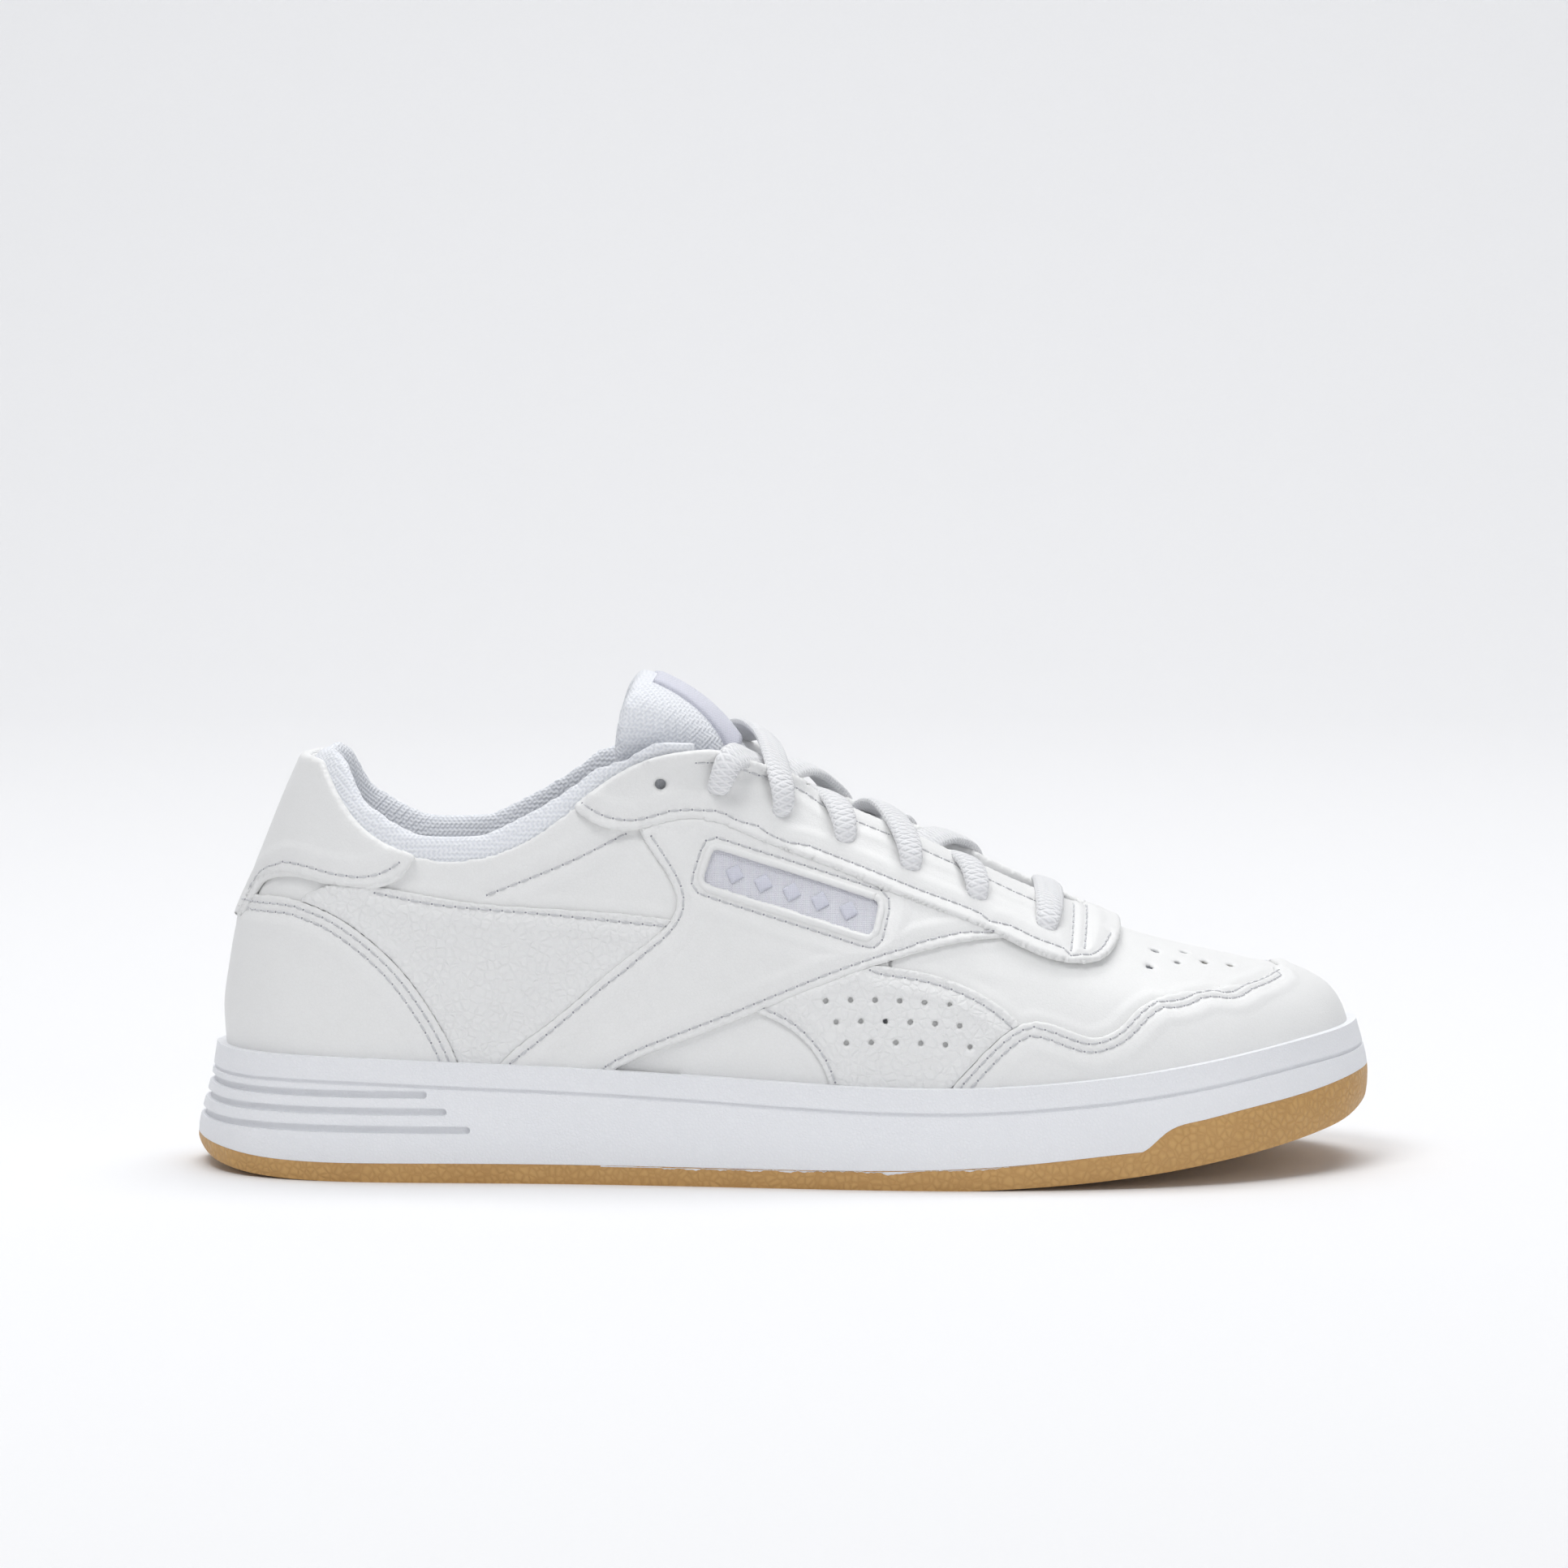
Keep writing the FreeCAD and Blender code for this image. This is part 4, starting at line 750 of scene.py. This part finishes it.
def window_bead(side_name, side):
    """Moulded lip round the window in the saddle."""
    line = line_on_upper(window_ring(0.5, 2.4), side)
    pts, nos = respaced(line, 0.6 * MM)
    pts = np.array([drop(surface_tree, p, n)[0] or p for p, n in zip(pts, nos)]) - nos * 0.25 * MM
    across = np.cross(np.gradient(pts, axis=0), nos)
    across /= np.linalg.norm(across, axis=1)[:, None]
    n = len(pts)
    ob = sweep("window_bead_" + side_name, pts, across, nos, [0.95 * MM] * n, [0.8 * MM] * n, 10, 2.0)
    return dress(ob, SMOOTH_LEATHER)


DIAMONDS = 5


def window_motif(side_name, side):
    """A row of plain embroidered diamonds on the window's inset."""
    corners = [Vector(c) for c in WINDOW]
    left = (corners[0] + corners[3]) / 2
    right = (corners[1] + corners[2]) / 2
    along = (right - left).normalized()
    across = Vector((-along.y, along.x))
    tree = tree_of(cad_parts["window_label_" + side_name])
    verts = []
    faces = []
    for k in range(DIAMONDS):
        centre = left + (right - left) * (k + 1) / (DIAMONDS + 1)
        for scale, rise in ((2.6, 0.2), (2.1, 0.6), (1.2, 0.75)):
            for u, v in ((1, 0), (0, 1), (-1, 0), (0, -1)):
                spot = centre + along * u * scale + across * v * scale
                p, n = side_hit(tree, spot.x, spot.y, side)
                verts.append(p + n * rise * MM)
        first = 12 * k
        for ring in (0, 4):
            for j in range(4):
                i = (j + 1) % 4
                faces.append([first + ring + m for m in (j, i, i + 4, j + 4)])
        faces += [[first + 8 + j for j in range(4)], [first + 3 - j for j in range(4)]]
    name = "window_motif_" + side_name
    ob = new_object(name, mesh_from(name, verts, faces, smooth=False))
    bevel = ob.modifiers.new("bevel", "BEVEL")
    bevel.width = 0.18 * MM
    bevel.segments = 2
    apply_modifiers(ob)
    return dress(ob, LABEL_SATIN)


HEEL_AXIS = Vector((to_x(60), 0, 0))   # the rounded heel seen from above turns about this


def heel_tab_welt():
    """Turned edge along the bottom of the heel tab, from one side round the back to the other."""
    tab = tree_of(leather_obs["heel_tab"])
    line = []
    for degrees in np.arange(98, 262.5, 0.75):
        out = Vector((math.cos(math.radians(degrees)), math.sin(math.radians(degrees)), 0))
        for height in np.arange(60, 80, 0.2):
            p, n = tab.ray_cast(HEEL_AXIS + out * 0.15 + Vector((0, 0, height * MM)), -out)[:2]
            if p is not None and (p - HEEL_AXIS).dot(out) > 0.01:
                line.append((p, out))
                break
    pts, nos = respaced(line, 0.7 * MM)
    pts = pts - nos * 0.75 * MM + np.array((0, 0, 0.5 * MM))
    across = np.cross(np.gradient(pts, axis=0), nos)
    across /= np.linalg.norm(across, axis=1)[:, None]
    ends = np.minimum(np.arange(len(pts)), np.arange(len(pts))[::-1])
    size = 0.25 + 0.75 * np.minimum(1, ends / 6)
    ob = sweep("heel_tab_welt", pts, across, nos, 1.5 * MM * size, 1.0 * MM * size, 12, 2.0)
    return dress(ob, SMOOTH_LEATHER)


def seam_backing(side_name, side):
    """Strip behind the meeting of vamp, quarter and front panel, so that the seam shows no gap."""
    left, right, low, high = 168, 186, 47, 63
    corner = {}
    for s, piece in ((left, "quarter_" + side_name), (right, "vamp")):
        for h in (low, high):
            p, n = side_hit(node_trees[piece], s, h, side)
            corner[s, h] = p - n * 0.35 * MM
    verts = []
    faces = []
    squares = 12
    for i in range(squares + 1):
        for j in range(squares + 1):
            u, v = i / squares, j / squares
            p = (corner[left, low] * (1 - u) + corner[right, low] * u) * (1 - v)
            p += (corner[left, high] * (1 - u) + corner[right, high] * u) * v
            verts.append(p)
    for i in range(squares):
        for j in range(squares):
            a = i * (squares + 1) + j
            faces.append((a, a + 1, a + squares + 2, a + squares + 1))
    name = "seam_backing_" + side_name
    ob = new_object(name, mesh_from(name, verts, faces))
    solid = ob.modifiers.new("thickness", "SOLIDIFY")
    solid.thickness = 0.4 * MM
    apply_modifiers(ob)
    return dress(ob, SMOOTH_LEATHER)


heel_tab_welt()
for side_name, side in SIDES:
    seam_backing(side_name, side)
    window_bead(side_name, side)
    window_motif(side_name, side)


# ======================================================================
# Lace: flat and woven, routed through the eyelets in place of the CAD tube
# ======================================================================
LACE_HALF_WIDTH = 4.1 * MM
LACE_HALF_HEIGHT = 1.45 * MM
EYELET_HALF = (2.3 * MM, 1.9 * MM)  # the lace's section where it goes through an eyelet
LAST_ROW = len(EYELETS) - 1
EDGE_SHARE = 0.18          # a crossing meets the throat edge this far along its way
# middle of the lace over the eyestay's face, in mm: at an eyelet's ends, and at the throat edge
EYELET_IN, EYELET_OUT = -6.6, 2.3
EDGE_UNDER, EDGE_OVER, EDGE_BAR = -7.4, 2.3, 1.9
TOP_RISE = 2.2 * MM        # the top crossing passes this much higher over the throat edge
TONGUE_BELOW = 5.8         # height from the tongue to the middle of the throat's surface
UPPER = {6: 2.8, 5: 4.0, 4: 4.5, 3: 3.9, 2: 4.6}
LOWER = {6: -2.4, 5: -1.6, 4: -1.8, 3: -1.9, 2: -1.5}
TAIL = [(140, 86.5), (148, 77.5), (158, 70), (169, 63.5), (181, 58), (193, 53), (205, 48.5), (219, 43.6),
        (223.5, 42.4)]
eyestay_tree = tree_of(leather_obs["eyestay"])
lining_tree = tree_of(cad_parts["quarter_lining"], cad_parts["vamp_lining"])
tongue_tree = tree_of(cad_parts["tongue_face"])


def eyelet_place(row, side):
    """Centre of an eyelet on the eyestay's face, and the outward normal."""
    station, height = EYELETS[row]
    pts = []
    nos = []
    for k in range(8):
        angle = math.pi * k / 4
        p, n = side_hit(eyestay_tree, station + 3 * math.cos(angle), height + 3 * math.sin(angle), side)
        if p is not None:
            pts.append(p)
            nos.append(n)
    return sum(pts, Vector()) / len(pts), (sum(nos, Vector()) / len(nos)).normalized()


def at_edge(a, b, side, off):
    p, n = crest(eyestay_tree, (a + (b - a) * EDGE_SHARE).x, side)
    return p + n * off * MM, n


def eyelet_turns(row, side):
    p, n = eyelet_place(row, side)
    return p + n * EYELET_IN * MM, p + n * EYELET_OUT * MM, n


def lace_half(side, lift):
    """Control points (place, up, share of full width) from the last eyelet to the tucked end."""
    inner, outer, n = eyelet_turns(LAST_ROW, side)
    route = [(outer, n, 0.35), (inner, n, 0.0)]
    over = False
    for row in range(LAST_ROW, 1, -1):
        ends_over = row == 2
        a_in, a_out, a_n = eyelet_turns(row, side)
        b_in, b_out, b_n = eyelet_turns(row - 1, -side)
        a = a_out if over else a_in
        b = b_out if ends_over else b_in
        e1, n1 = at_edge(a, b, side, EDGE_OVER if over else EDGE_UNDER)
        e2, n2 = at_edge(b, a, -side, EDGE_OVER if ends_over else EDGE_UNDER)
        if ends_over:
            e2 = e2 + Vector((0, 0, TOP_RISE))
        mid = (e1 + e2) / 2
        if row == 2:
            mid.x += 2.5 * MM
        top = tongue_tree.ray_cast(Vector((mid.x, mid.y, 0.2)), Vector((0, 0, -1)))
        mid.z = top[0].z + (TONGUE_BELOW + lift[row]) * MM
        up = Vector((0.45, 0, 0.89))
        route += [(e1, (n1 + up).normalized(), 0.95), (mid, up, 1.0), (e2, (n2 + up).normalized(), 0.95)]
        turn = [(b_in, b_n, 0.0), (b_out, b_n, 0.35)]
        route += turn[::-1] if ends_over else turn
        side = -side
        over = True
    for station, height in TAIL:
        start = Vector((to_x(station), 0, height * MM))
        p, n = lining_tree.ray_cast(start, Vector((0, side, 0)))[:2]
        inward = n if n.y * side < 0 else -n
        first = (station, height) == TAIL[0]
        route.append((p + inward * (3.0 if first else 1.9) * MM, inward, 0.1 if first else 0.5))
    return route


def lace():
    one = lace_half(LATERAL, UPPER)
    two = lace_half(MEDIAL, LOWER)
    bar = []
    for side in (LATERAL, MEDIAL):
        a = eyelet_turns(LAST_ROW, side)[1]
        b = eyelet_turns(LAST_ROW, -side)[1]
        p, n = at_edge(a, b, side, EDGE_BAR)
        bar.append((p, (n + Vector((0.3, 0, 0.9))).normalized(), 1.0))
    route = one[::-1] + bar + two
    path = spline([p for p, _, _ in route], 12)
    wanted = spline([n for _, n, _ in route], 12)
    share = spline([[w] for _, _, w in route], 12)[:, 0]
    side, up = steady_turn(path, wanted)
    width = EYELET_HALF[0] + (LACE_HALF_WIDTH - EYELET_HALF[0]) * share
    height = EYELET_HALF[1] + (LACE_HALF_HEIGHT - EYELET_HALF[1]) * share
    ob = sweep("lace_woven", path, side, up, width, height)
    return dress(ob, LACE_WEAVE, nodes=["lace"])


lace()


# ======================================================================
# Padding: collar and tongue, swollen by cloth simulation
# ======================================================================
def blow_up(ob, pressure, steps, cap, held):
    """Swells a closed mesh as stuffed cloth; held vertices stay, and none moves more than cap."""
    start = coordinates(ob.data)
    group = ob.vertex_groups.new(name="held")
    group.add([int(i) for i in np.flatnonzero(held)], 1.0, "REPLACE")
    mod = ob.modifiers.new("cloth", "CLOTH")
    mod.settings.quality = 6
    mod.settings.mass = 0.2
    mod.settings.tension_stiffness = 12
    mod.settings.compression_stiffness = 12
    mod.settings.bending_stiffness = 0.6
    mod.settings.effector_weights.gravity = 0
    mod.settings.use_pressure = True
    mod.settings.uniform_pressure_force = pressure
    mod.settings.vertex_group_mass = "held"
    mod.point_cache.frame_start = 1
    mod.point_cache.frame_end = steps
    for step in range(1, steps + 1):
        bpy.context.scene.frame_set(step)
    apply_modifiers(ob)
    bpy.context.scene.frame_set(1)
    move = coordinates(ob.data) - start
    size = np.linalg.norm(move, axis=1)
    move *= np.minimum(1, cap / np.maximum(size, 1e-9))[:, None]
    set_coordinates(ob.data, start + move)


def subdivide(ob, levels=1):
    mod = ob.modifiers.new("subdivision", "SUBSURF")
    mod.levels = levels
    apply_modifiers(ob)
    ob.data.polygons.foreach_set("use_smooth", [True] * len(ob.data.polygons))


def sockliner():
    """Removable footbed under its cloth cover."""
    ob = cad_copy("sockliner_padding", "sockliner_cover", "sockliner_foam")
    voxel_remesh(ob, 1.4 * MM)
    relax(ob.data, 3)
    subdivide(ob)
    return dress(ob, LINING_CLOTH, body="sockliner", nodes=["sockliner_cover", "sockliner_foam"])


def collar():
    """Padding round the ankle opening; its outer face stays against the leather."""
    ob = cad_copy("collar_padding", "collar_lining", "collar_foam")
    voxel_remesh(ob, 1.6 * MM)
    relax(ob.data, 2)
    co = coordinates(ob.data)
    outside = tree_of(*(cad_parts[n] for n in ("quarter_lateral", "quarter_medial", "eyestay")))
    near = np.array([outside.find_nearest(Vector(p))[3] for p in co])
    low = co[:, 2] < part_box("collar_lining")[0].z + 9 * MM
    blow_up(ob, 2.5, 16, 1.2 * MM, (near < 1.6 * MM) | low)
    relax(ob.data, 4)
    subdivide(ob)
    return dress(ob, SPACER_MESH, nodes=["collar_lining", "collar_foam"])


def tongue():
    """Padded tongue with a bound rim; the part under the lace stays as it is pressed."""
    ob = cad_copy("tongue_padding", "tongue_face", "tongue_foam", "tongue_lining")
    voxel_remesh(ob, 2.0 * MM)
    relax(ob.data, 3)
    co = coordinates(ob.data)
    pressed = (co[:, 2] < 98 * MM) | (co[:, 0] > to_x(150))
    blow_up(ob, 3.5, 16, 2.2 * MM, pressed)
    relax(ob.data, 2)
    subdivide(ob)
    return dress(ob, SPACER_MESH, body="tongue", nodes=["tongue_face", "tongue_foam", "tongue_lining"])


sockliner()
collar()
tongue_ob = tongue()


LABEL_HALF_WIDTH = 12.5
LABEL_LOW = (139.5, 108.5)  # station and height of the label's lower end
LABEL_HIGH = (121.0, 128.5)
LABEL_THICK = 0.7 * MM


def tongue_label():
    """Plain woven label down the front of the tongue."""
    tree = tree_of(tongue_ob)
    lines = 26
    columns = 15
    down = Vector((-0.7, 0, -0.714))
    sheets = ([], [])
    for i in range(lines):
        t = i / (lines - 1)
        station = LABEL_LOW[0] + (LABEL_HIGH[0] - LABEL_LOW[0]) * t
        height = LABEL_LOW[1] + (LABEL_HIGH[1] - LABEL_LOW[1]) * t
        for j in range(columns):
            y = LABEL_HALF_WIDTH * MM * (2 * j / (columns - 1) - 1)
            start = Vector((to_x(station), y, height * MM)) - down * 30 * MM
            p, n = tree.ray_cast(start, down)[:2]
            if p is None:
                p, n, _, _ = tree.find_nearest(start + down * 30 * MM)
            edge = min(i, lines - 1 - i, j, columns - 1 - j)
            sheets[0].append(p + n * (0.25 * MM + LABEL_THICK * (0.55 if edge == 0 else 1.0)))
            sheets[1].append(p - n * 0.4 * MM)
    verts = sheets[0] + sheets[1]
    total = lines * columns
    faces = []
    for i in range(lines - 1):
        for j in range(columns - 1):
            a = i * columns + j
            quad = (a, a + 1, a + columns + 1, a + columns)
            faces.append(quad)
            faces.append([total + k for k in reversed(quad)])
    ring = [j for j in range(columns)] + [(i + 1) * columns - 1 for i in range(1, lines)]
    ring += [total - 1 - j for j in range(1, columns)] + [i * columns for i in range(lines - 2, 0, -1)]
    for a, b in zip(ring, ring[1:] + ring[:1]):
        faces.append((b, a, total + a, total + b))
    ob = new_object("tongue_label_woven", mesh_from("tongue_label_woven", verts, faces))
    return dress(ob, LABEL_SATIN, body="tongue", nodes=["tongue_label"])


tongue_label()


# ======================================================================
# Sole: the paint's ragged edge on the gum rubber
# ======================================================================
PARTING = [(100, 5.0), (150, 5.0), (175, 5.1), (198, 5.9), (222, 7.9), (236, 9.2)]
RAGGED = (104, 212)        # stations between which the paint runs over the edge


def paint_edge(side_name, side):
    """Thin white overspray on the gum rubber, with an uneven lower edge."""
    tree = tree_of(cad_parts["outsole"])
    stations = np.arange(RAGGED[0], RAGGED[1], 0.35)
    tops = np.interp(stations, *np.array(PARTING).T)
    reach = np.zeros(len(stations))
    for size, amount in ((0.5, 0.25), (1.6, 0.5), (6.0, 0.75), (19.0, 0.55)):
        knots = np.arange(RAGGED[0] - size, RAGGED[1] + size, size)
        reach += amount * np.interp(stations, knots, rng.uniform(-1, 1, len(knots)))
    ends = np.minimum(1, np.minimum(stations - RAGGED[0], RAGGED[1] - stations) / 12)
    reach = np.clip(0.45 + 0.55 * reach, 0.12, 1.7) * np.clip(ends, 0.1, 1)
    verts = []
    for s, top, low in zip(stations, tops, reach):
        for height in (top + 0.35, top - low * 0.5, top - low):
            p, n = side_hit(tree, s, height, side)
            if p is None:
                p, n = side_hit(tree, s, top - 0.3, side)
            verts += [p + n * (0.12 if height > top - low else 0.03) * MM, p - n * 0.2 * MM]
    faces = []
    for i in range(len(stations) - 1):
        a, b = 6 * i, 6 * (i + 1)
        loop = (0, 2, 4, 5, 3, 1)
        for k, m in zip(loop, loop[1:] + loop[:1]):
            faces.append((a + k, b + k, b + m, a + m) if side > 0 else (a + m, b + m, b + k, a + k))
    for a in (0, 6 * (len(stations) - 1)):
        cap = [a + k for k in (0, 2, 4, 5, 3, 1)]
        faces.append(cap if (a == 0) == (side > 0) else cap[::-1])
    name = "paint_edge_" + side_name
    return dress(new_object(name, mesh_from(name, verts, faces)), WHITE_RUBBER)


for side_name, side in SIDES:
    paint_edge(side_name, side)


# ======================================================================
# Pieces kept from the CAD model
# ======================================================================
kept = {
    "outsole": GUM_RUBBER,
    "cupsole": WHITE_RUBBER,
    "foam_wedge": FOAM_BLOCK,
    "insole_board": STIFF_SHEET,
    "vamp_lining": LINING_CLOTH,
    "quarter_lining": LINING_CLOTH,
    "toe_puff": STIFF_SHEET,
    "heel_counter": STIFF_SHEET,
    "interlining_lateral": LINING_CLOTH,
    "interlining_medial": LINING_CLOTH,
    "eyestay_reinforcement": LINING_CLOTH,
    "window_label_lateral": WHITE_SATIN,
    "window_label_medial": WHITE_SATIN,
    "lace_aglet_lateral": AGLET_FILM,
    "lace_aglet_medial": AGLET_FILM,
}
for n, mat in kept.items():
    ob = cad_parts[n]
    ob.data.materials.clear()
    ob.data.materials.append(mat)


# ======================================================================
# Floor, light and camera
# ======================================================================
def soft_light(name, place, aim, size, power, colour=(1, 1, 1)):
    light = bpy.data.lights.new(name, "AREA")
    light.shape = "RECTANGLE"
    light.size, light.size_y = size
    light.energy = power
    light.color = colour
    ob = new_object(name, light)
    ob.location = place
    ob.rotation_euler = (Vector(aim) - Vector(place)).to_track_quat("-Z", "Y").to_euler()
    return ob


def studio():
    """Pale floor that curves up into a backdrop, and large soft lights."""
    profile = [(-3.0, 0.0), (1.2, 0.0)]
    for k in range(13):
        angle = math.pi / 2 * k / 12
        profile.append((1.2 + 0.9 * math.sin(angle), 0.9 * (1 - math.cos(angle))))
    profile.append((2.1, 3.0))
    verts = [(x, y, z) for y, z in profile for x in (-4.0, 4.0)]
    faces = [(2 * i, 2 * i + 1, 2 * i + 3, 2 * i + 2) for i in range(len(profile) - 1)]
    floor = new_object("studio_floor", mesh_from("studio_floor", verts, faces))
    mat = dotted_plastic("studio_paper", (0.88, 0.88, 0.885), (0.86, 0.86, 0.865), 0.9)
    floor.data.materials.append(mat)
    soft_light("key", (-0.5, -0.7, 1.6), (0, 0, 0.03), (0.8, 0.6), 11)
    soft_light("top", (0.25, 0.35, 1.7), (0, 0, 0.03), (1.2, 0.9), 12)
    soft_light("fill", (1.2, -1.6, 0.5), (0, 0, 0.05), (1.2, 1.2), 5, (0.97, 0.985, 1.0))
    soft_light("backdrop", (0, 1.0, 2.3), (0, 2.1, 0.7), (2.4, 0.8), 14)
    world = bpy.data.worlds.new("studio")
    world.use_nodes = True
    world.node_tree.nodes["Background"].inputs[0].default_value = (0.93, 0.95, 1.0, 1)
    world.node_tree.nodes["Background"].inputs[1].default_value = 0.38
    bpy.context.scene.world = world


VIEW_TILT = math.radians(6.0)
VIEW_DISTANCE = 2.2
VIEW_WIDTH = 0.4005        # width of the view where the shoe stands
AIM = Vector((0.0, 0.0, 0.0969))


def studio_camera():
    data = bpy.data.cameras.new("camera")
    data.sensor_width = 36.0
    data.lens = data.sensor_width * VIEW_DISTANCE / VIEW_WIDTH
    ob = new_object("camera", data)
    ob.location = AIM + VIEW_DISTANCE * Vector((0, -math.cos(VIEW_TILT), math.sin(VIEW_TILT)))
    ob.rotation_euler = (AIM - ob.location).to_track_quat("-Z", "Y").to_euler()
    bpy.context.scene.camera = ob


bpy.context.scene.view_settings.view_transform = "Standard"
studio()
studio_camera()
